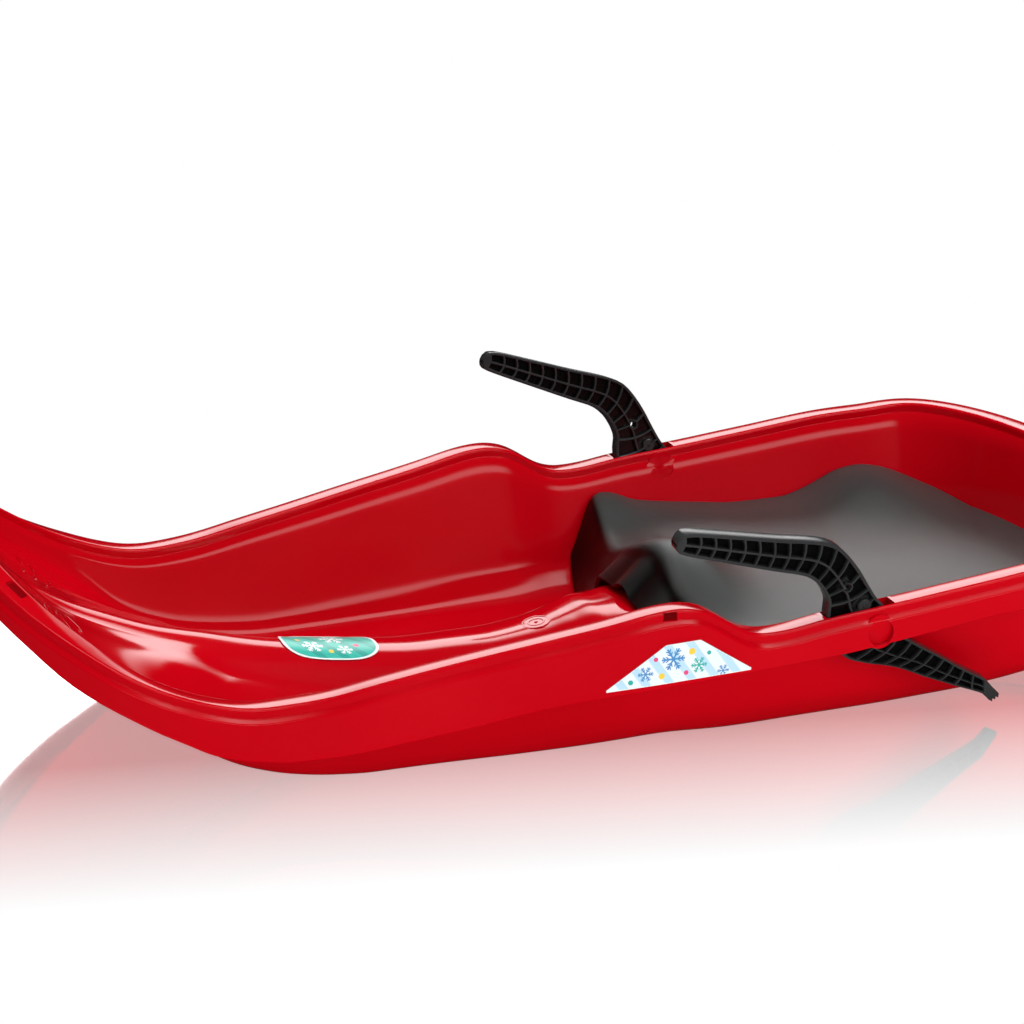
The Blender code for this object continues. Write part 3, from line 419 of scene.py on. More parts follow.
def add_object(name, mesh, material=None):
    obj = bpy.data.objects.new(name, mesh)
    if material:
        mesh.materials.append(material)
    bpy.context.scene.collection.objects.link(obj)
    return obj


def add_modifier(obj, kind, **values):
    modifier = obj.modifiers.new(kind.lower(), kind)
    for key, value in values.items():
        setattr(modifier, key, value)


def bake(obj):
    """Replace the object's mesh by the result of its modifiers."""
    bpy.context.view_layer.update()
    graph = bpy.context.evaluated_depsgraph_get()
    mesh = bpy.data.meshes.new_from_object(obj.evaluated_get(graph), depsgraph=graph)
    old = obj.data
    obj.modifiers.clear()
    obj.data = mesh
    mesh.name = old.name + "_mesh"


def smooth(obj, degrees):
    """Smooth shading with sharp edges where faces meet at more than an angle."""
    obj.data.shade_smooth()
    obj.data.set_sharp_from_angle(angle=math.radians(degrees))


def boolean(obj, bm, operation):
    """Join or cut with a bmesh of closed forms."""
    bmesh.ops.recalc_face_normals(bm, faces=bm.faces)
    tool = add_object("tool", mesh_of(bm, "tool"))
    before = len(obj.data.polygons)
    add_modifier(obj, "BOOLEAN", operation=operation, object=tool, solver="EXACT")
    bake(obj)
    if len(obj.data.polygons) < before * 0.9:
        raise RuntimeError("the Boolean on " + obj.name + " lost faces")
    bpy.data.objects.remove(tool, do_unlink=True)


def add_rod(bm, start, end, radius, sides):
    start = Vector(start)
    end = Vector(end)
    way = end - start
    turn = Vector((0, 0, 1)).rotation_difference(way).to_matrix().to_4x4()
    place = Matrix.Translation((start + end) / 2) @ turn
    bmesh.ops.create_cone(bm, cap_ends=True, segments=sides, radius1=radius, radius2=radius,
                          depth=way.length, matrix=place)


def add_turned(bm, place, profile, sides):
    """A closed form turned about the place's Z axis, from (radius, height) points with both ends on it."""
    rings = []
    for radius, height in profile:
        if radius == 0:
            rings.append([bm.verts.new(place @ Vector((0, 0, height)))] * sides)
            continue
        rings.append([bm.verts.new(place @ Vector((radius * math.cos(2 * math.pi * k / sides),
                                                   radius * math.sin(2 * math.pi * k / sides), height)))
                      for k in range(sides)])
    for a, b in zip(rings, rings[1:]):
        for k in range(sides):
            n = (k + 1) % sides
            loop = []
            for v in (a[k], a[n], b[n], b[k]):
                if v not in loop:
                    loop.append(v)
            if len(loop) > 2:
                bm.faces.new(loop)


def add_block(bm, low, high):
    low = Vector(low)
    high = Vector(high)
    size = Matrix.Diagonal((*(high - low), 1))
    bmesh.ops.create_cube(bm, size=1, matrix=Matrix.Translation((low + high) / 2) @ size)


def add_slab(bm, outline, frame_matrix, low, high):
    """A closed slab with a flat outline, between two heights of a frame."""
    rings = []
    for height in (low, high):
        rings.append([bm.verts.new(frame_matrix @ Vector((p[0], p[1], height))) for p in outline])
    skin_rings(bm, rings)


def rounded_rectangle(length, width, radius, steps=5):
    out = []
    for cx, cy, begin in ((1, 1, 0), (-1, 1, 90), (-1, -1, 180), (1, -1, 270)):
        for k in range(steps + 1):
            turn = math.radians(begin + 90 * k / steps)
            out.append((cx * (length / 2 - radius) + radius * math.cos(turn),
                        cy * (width / 2 - radius) + radius * math.sin(turn)))
    return out


def pivot_point(side):
    height = rim_top(PIVOT_AT) - PIVOT_DROP
    slot_middle = rim_half(PIVOT_AT) + RIM_WIDTH / 2
    across = slot_middle - math.tan(LEVER_LEAN) * (PIVOT_DROP - SHEET)
    return Vector((PIVOT_AT + DATUM_X, side * across, height))


def lever_frame(side):
    """Lever axes: X aft, Y outward along the pin, Z up the leaning lever."""
    outward = Vector((0, side * math.cos(LEVER_LEAN), -math.sin(LEVER_LEAN)))
    upward = Vector((0, side * math.sin(LEVER_LEAN), math.cos(LEVER_LEAN)))
    turn = Matrix((Vector((1, 0, 0)), outward, upward)).transposed().to_4x4()
    return Matrix.Translation(pivot_point(side)) @ turn


def wall_middle(x, z):
    return rim_half(x) - wall_reach(x, z) + SHEET / 2


# Hull

def rim_section():
    """The rim from the skirt's shoulder to the tub's wall: (outward, below the top)."""
    deep = RIM_SIDE + SHOULDER
    outer = RIM_WIDTH + SHOULDER
    points = ((outer + 0.0002, deep + 0.004), (outer, deep), (RIM_WIDTH, RIM_SIDE), (RIM_WIDTH, 0), (0, 0),
              (0, RIM_SIDE), (-SHOULDER, deep))
    radii = (0, 0.0030, 0.0020, RIM_EDGE, RIM_EDGE, 0.0020, 0)
    return round_corners(points, radii, 4)[:-1]


def hull_columns(stations):
    section = rim_section()
    columns = []
    for (edge, spine), normal in zip(stations, outward_normals(stations)):
        x, y = edge
        top = rim_top(x)
        low_z = skirt_edge(x)
        high_z = top - section[0].y
        column = []
        for share, tuck in ((0.0, 0.0009), (0.02, 0.0003), (0.05, 0.0), (0.3, 0.0), (0.65, 0.0)):
            z = mix(low_z, high_z, share)
            out = RIM_WIDTH + SHOULDER + SKIRT_FLARE * (1 - share) - tuck
            at = Vector(edge) + normal * out
            column.append(Vector((at.x, at.y, z)))
        for out, drop in section:
            at = Vector(edge) + normal * out
            column.append(Vector((at.x, at.y, top - drop)))
        span = (Vector((spine, 0)) - Vector(edge)).length
        bend = min(max(bend_reach(x), SHOULDER + 0.006), span * 0.35)
        foot = min(max(foot_reach(x), bend + 0.006), span * 0.6)
        turn = WALL_FILLET / WALL_RISE
        round_off = min(FLOOR_FILLET / 2, (foot - bend) * 0.6)
        reaches = [SHOULDER + 0.0004]
        reaches += [mix(SHOULDER, bend - turn, k / 5) for k in range(1, 5)]
        reaches += [bend + turn * k for k in (-1, -0.5, 0, 0.5, 1)]
        reaches += [mix(bend + turn, foot - round_off, k / 3) for k in range(1, 3)]
        reaches += [foot + round_off * k for k in (-1, -0.5, 0, 0.5, 1, 1.5)]
        inner = span - reaches[-1]
        rows = 28
        reaches += [span - inner * (1 - k / rows) for k in range(1, rows + 1)]
        for reach in reaches:
            at = inward_point(edge, spine, normal, reach / span)
            flat_y = 0.0 if abs(at.y) < 1e-6 else at.y
            column.append(Vector((at.x, flat_y, tub_height(at.x, at.y, reach))))
        columns.append(column)
    return columns


def add_boss(bm, side, inner):
    """A round boss that carries one end of the pin, grown from the wall or the skirt."""
    place = lever_frame(side)
    near = HUB_HALF + GAP
    sign = -1 if inner else 1
    skirt_reach = RIM_WIDTH + SHOULDER + rim_half(PIVOT_AT) - SHEET / 2
    ends = []
    sides = 48
    for reach in (near, 0.0):
        ring = []
        for k in range(sides):
            turn = 2 * math.pi * k / sides
            x = BOSS_RADIUS * math.cos(turn)
            z = BOSS_RADIUS * math.sin(turn)
            at = place @ Vector((x, sign * near, z))
            if reach == 0.0:
                goal = wall_middle(PIVOT_AT + x, at.z) if inner else skirt_reach
                shift = (goal - abs(at.y)) / math.cos(LEVER_LEAN)
                at = place @ Vector((x, sign * near + shift, z))
            ring.append(bm.verts.new(at))
        ends.append(ring)
    skin_rings(bm, ends)


def add_foot_rib(bm, side, x, outer):
    """A low rounded rib across a footwell that fades out at both ends."""
    steps = 28
    rings = []
    for k in range(steps + 1):
        share = k / steps
        y = mix(FOOT_RIB_START, outer, share)
        sink = FOOT_RIB_SINK * (1 - ease(min(share, 1 - share) / FOOT_RIB_FADE))
        shift = FOOT_RIB_BOW * ease(1 - share) ** 2
        ring = []
        for along, rise in FOOT_RIB_SECTION:
            px = x + along * FOOT_RIB_HALF - shift
            height = floor_height(px, y) + rise + FOOT_RIB_LIFT - sink
            ring.append(bm.verts.new((px + DATUM_X, side * y, height)))
        rings.append(ring)
    skin_rings(bm, rings)


def add_cord_slots(bm):
    turn = math.radians(CORD_SLOT_TURN)
    nose_end = NOSE_TIP + NOSE_ROUND
    wide = rim_half(nose_end)
    edge = Vector((nose_end - NOSE_ROUND * math.cos(turn), wide * math.sin(turn), 0))
    normal = Vector((-math.cos(turn) * wide, math.sin(turn) * NOSE_ROUND, 0)).normalized()
    slope = (rim_top(edge.x + 0.004) - rim_top(edge.x - 0.004)) / 0.008
    along = Vector((normal.y, -normal.x, slope * normal.y)).normalized()
    deep = along.cross(normal)
    middle = edge + normal * CORD_SLOT_OFF + Vector((DATUM_X, 0, rim_top(edge.x)))
    outline = rounded_rectangle(CORD_SLOT_LENGTH, CORD_SLOT_WIDTH, 0.0022)
    for side in (LEFT, RIGHT):
        flip = Matrix.Diagonal((1, side, 1)).to_3x3()
        turned = Matrix([flip @ a for a in (along, normal, deep)]).transposed().to_4x4()
        add_slab(bm, outline, Matrix.Translation(flip @ middle) @ turned, -0.006, 0.006)


def clip_places(side):
    return [Vector((x + DATUM_X, side * y, floor_height(x, y))) for x, y in CLIPS]


def make_hull(material):
    nose_end = NOSE_TIP + NOSE_ROUND
    tail_start = TAIL_TIP - TAIL_ROUND
    body = spaced(nose_end, -0.128, 0.0055) + spaced(-0.128, -0.045, 0.0033)
    body += spaced(-0.045, tail_start, 0.0060) + [tail_start]
    columns = hull_columns(plan_stations(26, body, 26))
    hull = add_object("hull_shell", mesh_from_columns("hull_shell", columns), material)
    add_modifier(hull, "MIRROR", use_axis=(False, True, False), merge_threshold=0.00002)
    add_modifier(hull, "SOLIDIFY", thickness=SHEET, offset=-1, use_quality_normals=True)
    bake(hull)
    for vertex in hull.data.vertices:
        vertex.co.z = max(vertex.co.z, 0.0)

    bosses = bmesh.new()
    for side in (LEFT, RIGHT):
        add_boss(bosses, side, True)
        add_boss(bosses, side, False)
        for x, outer in FOOT_RIBS:
            add_foot_rib(bosses, side, x * MM, outer * MM)
    tilt = math.atan((floor_height(DISC_AT + 0.01, 0) - floor_height(DISC_AT - 0.01, 0)) / 0.02)
    middle = Matrix.Translation((DISC_AT + DATUM_X, 0, floor_height(DISC_AT, 0)))
    place = middle @ Matrix.Rotation(-tilt, 4, "Y")
    r = DISC_RADIUS
    ring = ((0, -0.0012), (r, -0.0012), (r, 0.0002), (r - 0.0003, 0.0005), (r - 0.0010, 0.0005),
            (r - DISC_RING, 0.00015), (r * 0.60, 0.0002), (r * 0.58, 0.0005), (r * 0.50, 0.0005),
            (r * 0.46, 0.0001), (0.0015, 0.0001), (0.0011, 0.0007), (0, 0.0008))
    add_turned(bosses, place, ring, 48)
    boolean(hull, bosses, "UNION")

    for side in (LEFT, RIGHT):
        cuts = bmesh.new()
        place = lever_frame(side)
        slot_middle = rim_half(PIVOT_AT) + RIM_WIDTH / 2
        middle = Vector((SLOT_START + SLOT_LENGTH / 2 + DATUM_X, side * slot_middle, rim_top(PIVOT_AT)))
        outline = rounded_rectangle(SLOT_LENGTH, RIM_WIDTH - 2 * SHEET - 0.0002, 0.0014, 4)
        add_slab(cuts, outline, Matrix.Translation(middle), -SHEET * 2.5, SHEET * 4)
        floor_at = HUB_HALF + GAP + BOSS_FLOOR + RECESS_FILL
        for sign in (-1, 1):
            add_rod(cuts, place @ Vector((0, sign * floor_at, 0)), place @ Vector((0, sign * 0.03, 0)),
                    RECESS_RADIUS, 48)
        boolean(hull, cuts, "DIFFERENCE")
        cuts = bmesh.new()
        window_y = rim_half(WINDOW_AT) + RIM_WIDTH
        top = rim_top(WINDOW_AT)
        ends = sorted((side * (window_y - WINDOW_DEPTH), side * (window_y + WINDOW_DEPTH)))
        add_block(cuts, (WINDOW_AT - WINDOW_LENGTH / 2 + DATUM_X, ends[0], top - WINDOW_LIP - WINDOW_HEIGHT),
                  (WINDOW_AT + WINDOW_LENGTH / 2 + DATUM_X, ends[1], top - WINDOW_LIP))
        for clip in clip_places(side):
            add_rod(cuts, clip - Vector((0, 0, 0.01)), clip + Vector((0, 0, 0.01)), CLIP_HOLE_RADIUS, 24)
        boolean(hull, cuts, "DIFFERENCE")
    cuts = bmesh.new()
    add_cord_slots(cuts)
    boolean(hull, cuts, "DIFFERENCE")
    smooth(hull, 38)
    return hull


# Seat

def seat_edge(edge, spine, normal):
    """The seat's edge on a line from the rim to the spine, as near the wall as its underside allows."""
    span = (Vector((spine, 0)) - Vector(edge)).length
    reach = SHOULDER + SEAT_SHEET
    while reach < span:
        at = inward_point(edge, spine, normal, reach / span)
        under = seat_side(at.x) - SEAT_SHEET - SEAT_CLEAR
        if tub_height(at.x, at.y, reach - SEAT_SHEET / 2) <= under:
            break
        reach += 0.0002
    return at


def seat_limit(x, z):
    """The widest that the seat's front may be at a height, clear of the tub's wall."""
    y = rim_half(x) - SHOULDER - SEAT_SHEET
    while y > 0.1 and tub_height(x, y, rim_half(x) - y) > z - SEAT_CLEAR:
        y -= 0.0005
    return y - SEAT_SHEET / 2


def seat_height(x, y, share, side_height):
    """Top of the seat: a pommel and two lobes that rise from the pan."""
    pan = seat_pan(x)
    pommel = (seat_centre(x) - pan) * ease(1 - abs(y) / SEAT_POMMEL_HALF)
    begin = mix(SEAT_LOBE_FRONT, SEAT_LOBE_REAR, ease((x - SEAT_START) / SEAT_LOBE_LENGTH))
    lobe = (side_height - pan) * ease((share - begin) / (1 - begin)) ** 1.3
    return pan + pommel + lobe


def seat_foot_height(x, y):
    """Where the front's lower edge ends above the tub's floor."""
    floor = 0.0
    for step in (0, 0.003, 0.006):
        for beside in (max(y - 0.008, 0), y):
            floor = max(floor, tub_height(x + step, beside, max(rim_half(x) - beside, SHOULDER)))
    return floor + SEAT_CLEAR + SEAT_SHEET * 0.85


def make_seat(material):
    tail_start = TAIL_TIP - TAIL_ROUND
    body = [SEAT_START] + [SEAT_START + k * 0.004 for k in range(1, 8)]
    body += spaced(body[-1] + 0.005, tail_start, 0.006) + [tail_start]
    stations = plan_stations(0, body, 26)
    normals = outward_normals([((body[0] - 0.01, rim_half(body[0])), 0)] + stations)[1:]
    rows = 44
    shares = [1 - k / rows for k in range(rows + 1)]
    bow_end = seat_front_top(SEAT_FRONT_TOP[-1][0] * MM)
    columns = []
    for (edge, spine), normal in zip(stations, normals):
        outer = seat_edge(edge, spine, normal)
        side_height = seat_side(outer.x)
        column = []
        for share in shares:
            at = Vector((spine, 0)).lerp(outer, share)
            fade = 1 - ease((at.x - body[0]) / SEAT_BOW_LENGTH)
            x = at.x + (seat_front_top(abs(at.y)) - bow_end) * fade
            y = 0.0 if share == 0.0 else at.y
            column.append(Vector((x, y, seat_height(x, y, share, side_height))))
        columns.append(column)
    first = columns[0]
    drops = (1.0, 0.985, 0.9, 0.75, 0.6, 0.45, 0.3, 0.18)
    face = [[] for _ in drops]
    bend = [[] for _ in range(6)]
    for j, p in enumerate(first):
        foot_x = seat_front_foot(p.y)
        foot_z = seat_foot_height(foot_x, min(p.y, seat_limit(foot_x, 0.030)))
        if p.y < SEAT_ARCH_HALF:
            foot_z += SEAT_ARCH_HEIGHT * (1 - (p.y / SEAT_ARCH_HALF) ** 2)
        head = Vector((p.x - SEAT_FRONT_ROUND * 0.6, p.y, p.z - SEAT_FRONT_ROUND * 0.4))
        for i, drop in enumerate(drops):
            x = mix(head.x, foot_x, drop)
            z = mix(head.z, foot_z, drop)
            face[i].append(Vector((x, min(p.y, seat_limit(x, z)), z)))
        start = face[-1][-1]
        corner = Vector((head.x + 0.0012, start.y, p.z - 0.0004))
        end = columns[1][j]
        for k in range(6):
            t = (k + 1) / 7
            bend[k].append(start * (1 - t) ** 2 + corner * 2 * t * (1 - t) + end * t**2)
    grid = face + bend + columns[1:]
    seat = add_object("seat_shell", mesh_from_columns("seat_shell", grid), material)
    add_modifier(seat, "MIRROR", use_axis=(False, True, False), merge_threshold=0.00002)
    add_modifier(seat, "SOLIDIFY", thickness=SEAT_SHEET, offset=-1, use_even_offset=True,
                 use_quality_normals=True)
    bake(seat)
    add_modifier(seat, "BEVEL", width=0.0007, segments=2, limit_method="ANGLE", angle_limit=math.radians(50))
    bake(seat)
    smooth(seat, 40)
    return seat


# Levers

def lever_section(s):
    """Lower point, upper point and half thickness at a place 0 to 1 along the lever."""
    count = len(LEVER_SECTIONS) - 1
    at = min(max(s, 0.0), 1.0) * count
    i = min(int(at), count - 1)
    t = at - i
    rows = [LEVER_SECTIONS[min(max(k, 0), count)] for k in (i - 1, i, i + 1, i + 2)]
    out = []
    for a, b, c, d in zip(*rows):
        out.append((b + 0.5 * t * (c - a + t * (2 * a - 5 * b + 4 * c - d + t * (3 * (b - c) + d - a)))) * MM)
    return Vector((out[0], out[1])), Vector((out[2], out[3])), out[4]


def lever_run():
    """Places 0 to 1 and the length run along the lever's middle line to each."""
    fine = 600
    places = [k / fine for k in range(fine + 1)]
    points = []
    for s in places:
        low, high, _ = lever_section(s)
        points.append((low + high) / 2)
    run = [0.0]
    for a, b in zip(points, points[1:]):
        run.append(run[-1] + (b - a).length)
    return places, run


def interpolate(x, xs, ys):
    x = min(max(x, xs[0]), xs[-1])
    i = max(k for k in range(len(xs) - 1) if xs[k] <= x)
    return mix(ys[i], ys[i + 1], (x - xs[i]) / (xs[i + 1] - xs[i]))


def tooth_row_tree():
    """A node tree that sets equal prisms in a row along X, each with one edge toward +Y."""
    tree = new_group("tooth_row", "GeometryNodeTree",
                     (("Geometry", "Geometry"), ("Count", "Int"), ("Pitch", "Float"), ("Radius", "Float"),
                      ("Depth", "Float"), ("Material", "Material")), (("Geometry", "Geometry"),))
    given = tree.nodes.new("NodeGroupInput").outputs
    step = node(tree, "ShaderNodeCombineXYZ", {"X": given["Pitch"]})
    line = node(tree, "GeometryNodeMeshLine", {"Count": given["Count"], "Offset": step.outputs["Vector"]})
    prism = node(tree, "GeometryNodeMeshCylinder",
                 {"Vertices": 3, "Radius": given["Radius"], "Depth": given["Depth"]})
    spread = node(tree, "GeometryNodeInstanceOnPoints",
                  {"Points": line.outputs["Mesh"], "Instance": prism.outputs["Mesh"],
                   "Rotation": (0, 0, math.pi / 2)})
    real = node(tree, "GeometryNodeRealizeInstances", {"Geometry": spread.outputs["Instances"]})
    paint = node(tree, "GeometryNodeSetMaterial",
                 {"Geometry": real.outputs["Geometry"], "Material": given["Material"]})
    node(tree, "NodeGroupOutput", {"Geometry": paint.outputs["Geometry"]})
    return tree


def add_claw_teeth(lever, material):
    """A row of teeth across the end of the lever's lower arm, from its lower edge to its upper one."""
    low, high, half = lever_section(1.0)
    pitch = (high - low).length / CLAW_TEETH
    row = add_object("tooth_row", bpy.data.meshes.new("tooth_row"))
    modifier = row.modifiers.new("tooth_row", "NODES")
    modifier.node_group = tooth_row_tree()
    values = {"Count": CLAW_TEETH, "Pitch": pitch, "Radius": CLAW_TOOTH, "Depth": 2 * (half - CLAW_INSET),
              "Material": material}
    for item in modifier.node_group.interface.items_tree:
        if item.name in values:
            modifier[item.identifier] = values[item.name]
    bake(row)
    along = (high - low).normalized()
    outward = Vector((along.y, -along.x))
    start = low + along * (pitch / 2)
    row.data.transform(Matrix(((along.x, outward.x, 0, start.x), (0, 0, 1, 0),
                               (along.y, outward.y, 0, start.y), (0, 0, 0, 1))))
    bm = bmesh.new()
    bm.from_mesh(row.data)
    bmesh.ops.recalc_face_normals(bm, faces=bm.faces)
    bm.from_mesh(lever.data)
    bm.to_mesh(lever.data)
    bm.free()
    bpy.data.objects.remove(row)


def lever_lines(total):
    """Lines along the lever: (length run, 1 on a rib, 0.5 on its cut edge and 0 in a pocket)."""
    lines = [(0.0, 1), (0.0012, 1), (0.0035, 1)]
    for k in range(int((total - LEVER_CELLS_TO) / LEVER_PITCH)):
        begin = LEVER_CELLS_FROM + k * LEVER_PITCH
        end = begin + LEVER_PITCH - LEVER_RIB
        lines += [(begin - LEVER_CUT, 1), (begin, 0.5), (begin + LEVER_DRAFT, 0), ((begin + end) / 2, 0),
                  (end - LEVER_DRAFT, 0), (end, 0.5), (end + LEVER_CUT, 1)]
    return lines + [(total - 0.0012, 1), (total, 1)]


def lever_across(width):
    """Lines from the lower edge to the upper: (metres from the lower edge, 1, 0.5 or 0 as above)."""
    rib_at = width * LEVER_LONG_RIB
    low = rib_at - LEVER_RIB / 2
    high = rib_at + LEVER_RIB / 2
    top = width - LEVER_FLANGE
    return ((0.0, 1), (LEVER_EDGE * 0.3, 1), (LEVER_EDGE, 1), (LEVER_FLANGE - LEVER_CUT, 1),
            (LEVER_FLANGE, 0.5), (LEVER_FLANGE + LEVER_DRAFT, 0), ((LEVER_FLANGE + rib_at) / 2, 0),
            (low - LEVER_DRAFT, 0), (low, 0.5), (low + LEVER_CUT, 1), (high - LEVER_CUT, 1), (high, 0.5),
            (high + LEVER_DRAFT, 0), ((rib_at + top) / 2, 0), (top - LEVER_DRAFT, 0), (top, 0.5),
            (top + LEVER_CUT, 1), (width - LEVER_EDGE, 1), (width - LEVER_EDGE * 0.3, 1), (width, 1))


def lever_body():
    """A flanged web with a long rib and curved cross ribs on both faces, from one grid for each face."""
    places, run = lever_run()
    total = run[-1]
    neck = interpolate(PADDLE_FROM / (len(LEVER_SECTIONS) - 1), places, run)

    def place_of(length, share, slant):
        """The point in the lever's plane; the cross lines lean and bow."""
        lean = slant * (share - 0.5) + LEVER_BOW * (1 - (2 * share - 1) ** 2)
        low, high, half = lever_section(interpolate(length + lean, run, places))
        return low.lerp(high, share), half

    bm = bmesh.new()
    # Mark for the painted shade in the lever's pockets: 1 on a pocket's floor
    pocket_shade = bm.verts.layers.float.new("pocket_shade")
    borders = []
    for face in (-1, 1):
        grid = []
        for length, on_rib in lever_lines(total):
            low, high, _ = lever_section(interpolate(length, run, places))
            width = (high - low).length
            leaning = ease((length - neck) / PADDLE_LEAN_IN) * ease((total - length) / PADDLE_LEAN_OUT)
            slant = PADDLE_SLANT * leaning
            fade = ease(min(length, total - length) / LEVER_END_FADE)
            row = []
            for metres, raised in lever_across(width):
                share = metres / width
                at, half = place_of(length, share, slant)
                if fade < 1:
                    at = low.lerp(high, share).lerp(at, fade)
                tall = half
                edge_gap = min(metres, width - metres, length * 0.9, (total - length) * 0.9)
                if edge_gap < LEVER_EDGE:
                    off = 1 - edge_gap / LEVER_EDGE
                    tall = half - LEVER_EDGE + LEVER_EDGE * math.sqrt(max(1 - off**2, 0))
                level = max(on_rib, raised)
                if width < LEVER_PLAIN_WIDTH or at.length < HUB_RADIUS + LEVER_HUB_CLEAR:
                    level = 1
                if level == 0:
                    tall = LEVER_WEB / 2
                elif level < 1:
                    tall = half - LEVER_CUT
                vert = bm.verts.new((at.x, face * tall, at.y))
                vert[pocket_shade] = 1.0 if level == 0 else 0.0
                row.append(vert)
            grid.append(row)
        quad_sheet(bm, grid, face > 0)
        borders.append(grid[0] + [row[-1] for row in grid[1:-1]] + list(reversed(grid[-1]))
                       + [row[0] for row in reversed(grid[1:-1])])
    skin(bm, *borders)
    bmesh.ops.recalc_face_normals(bm, faces=bm.faces)
    return bm


def make_lever(name, side, lift, material):
    lever = add_object(name, mesh_of(lever_body(), name), material)
    hub = bmesh.new()
    add_rod(hub, (0, -HUB_HALF, 0), (0, HUB_HALF, 0), HUB_RADIUS, 40)
    x, z = (size * MM for size in LEVER_HOLE)
    add_rod(hub, (x, -LEVER_COLLAR_HALF, z), (x, LEVER_COLLAR_HALF, z), LEVER_HOLE_RADIUS + LEVER_COLLAR, 24)
    stop = Matrix.Translation((STOP_AT[0], 0, STOP_AT[1])) @ Matrix.Rotation(math.radians(90), 4, "X")
    profile = [(radius, -height) for radius, height in STOP_PROFILE]
    add_turned(hub, stop, profile + list(reversed(STOP_PROFILE)), 32)
    boolean(lever, hub, "UNION")
    bores = bmesh.new()
    add_rod(bores, (0, -0.02, 0), (0, 0.02, 0), PIN_RADIUS + GAP, 32)
    add_rod(bores, (x, -0.02, z), (x, 0.02, z), LEVER_HOLE_RADIUS, 24)
    boolean(lever, bores, "DIFFERENCE")
    add_claw_teeth(lever, material)
    lever.data.transform(lever_frame(side) @ Matrix.Rotation(lift, 4, "Y"))
    smooth(lever, 35)
    return lever


# Stickers

def film_object(name, grid, margins, flip, material):
    """A thin film from a grid of world points, which keeps each point's distance from the outline."""
    bm = bmesh.new()
    quad_sheet(bm, [[bm.verts.new(p) for p in row] for row in grid], flip)
    mesh = mesh_of(bm, name)
    layer = mesh.attributes.new("margin", "FLOAT", "POINT")
    layer.data.foreach_set("value", [margin for row in margins for margin in row])
    film = add_object(name, mesh, material)
    add_modifier(film, "SOLIDIFY", thickness=STICKER_SHEET, offset=-1)
    bake(film)
    smooth(film, 40)
    return film


def side_sticker_span(x):
    """Lower and upper edge of the side sticker."""
    start, end = SIDE_STICKER
    share = (x - start) / (end - start)
    front, rear = SIDE_STICKER_SLOPES
    full = min(share / front, (1 - share) / rear, 1.0)
    low = skirt_edge(x) + mix(*SIDE_STICKER_LOW, share)
    high = low + mix(SIDE_STICKER_END, SIDE_STICKER_HEIGHT, full)
    top = rim_top(x) - RIM_SIDE - SHOULDER
    return low, min(high, top - 0.003)


def make_side_sticker(name, side, material):
    start, end = SIDE_STICKER
    steps, rows = 84, 22
    outline = []
    for k in range(41):
        x = mix(start, end, k / 40)
        low, high = side_sticker_span(x)
        outline += [Vector((x, low)), Vector((x, high))]
    for z_share in (0.33, 0.67):
        for x in (start, end):
            low, high = side_sticker_span(x)
            outline.append(Vector((x, mix(low, high, z_share))))
    grid, margins = [], []
    for k in range(steps + 1):
        x = mix(start, end, k / steps)
        low, high = side_sticker_span(x)
        top = rim_top(x) - RIM_SIDE - SHOULDER
        row, far = [], []
        for j in range(rows + 1):
            z = mix(low, high, j / rows)
            flare = SKIRT_FLARE * (top - z) / (top - skirt_edge(x))
            y = rim_half(x) + RIM_WIDTH + SHOULDER + flare + GAP + STICKER_SHEET
            row.append(Vector((x + DATUM_X, side * y, z)))
            far.append(min((Vector((x, z)) - p).length for p in outline))
        grid.append(row)
        margins.append(far)
    return film_object(name, grid, margins, side == LEFT, material)


def make_ridge_sticker(name, material):
    start, end = RIDGE_STICKER
    steps, rows = 44, 30
    grid, margins = [], []
    for k in range(steps + 1):
        along = -math.cos(math.pi * mix(0.03, 0.97, k / steps))
        x = mix(start, end, (1 + along) / 2)
        half = RIDGE_STICKER_HALF * (1 - abs(along) ** RIDGE_STICKER_POWER) ** (1 / RIDGE_STICKER_POWER)
        row, far = [], []
        for j in range(rows + 1):
            y = half * (1 - 2 * j / rows)
            round_off = (abs(along) ** RIDGE_STICKER_POWER
                         + abs(y / RIDGE_STICKER_HALF) ** RIDGE_STICKER_POWER) ** (1 / RIDGE_STICKER_POWER)
            row.append(Vector((x + DATUM_X, y, floor_height(x, y) + GAP * 2 + STICKER_SHEET)))
            far.append((1 - round_off) * RIDGE_STICKER_HALF)
        grid.append(row)
        margins.append(far)
    return film_object(name, grid, margins, False, material)


# Materials

PRINT_WHITE = (0.85, 0.88, 0.88)
PRINT_BLUE = (0.06, 0.25, 0.55)
PRINT_TEAL = (0.02, 0.42, 0.36)
PRINT_PINK = (0.80, 0.06, 0.20)
PRINT_YELLOW = (0.90, 0.60, 0.05)
BAND_PITCH = 0.017              # from one slanting band of a print to the next
BAND_SLANT = 0.7
BAND_LEVEL = 0.35               # a band is where the wave is above this
BAND_CLOUD = 0.25               # how much of the band's colour clouds the base
FILM_GRAIN = (700, 0.02, 0.1)   # grain size, depth and wave depth
FILM_ROUGHNESS = 0.30
SIDE_BORDER = 0.0009
RIDGE_BORDER = 0.0015
FLAKE_LINE = 0.075              # half of a snowflake's line, as a share of its reach
FLAKE_TWIG = 0.24               # how far its twigs stand out
FLAKE_TWIGS_AT = (0.38, 0.66)
CLOUD_TONES = (0.35, 0.65)      # between these the cloud turns the darker colour to the lighter
CLOUD_SPAN = (0.3, 0.7)         # and between these the least roughness to the most
FRONT_SHADE_FACES = (-0.45, -0.75)    # X of the normal where a face begins to be, and is, a front that gets painted shade
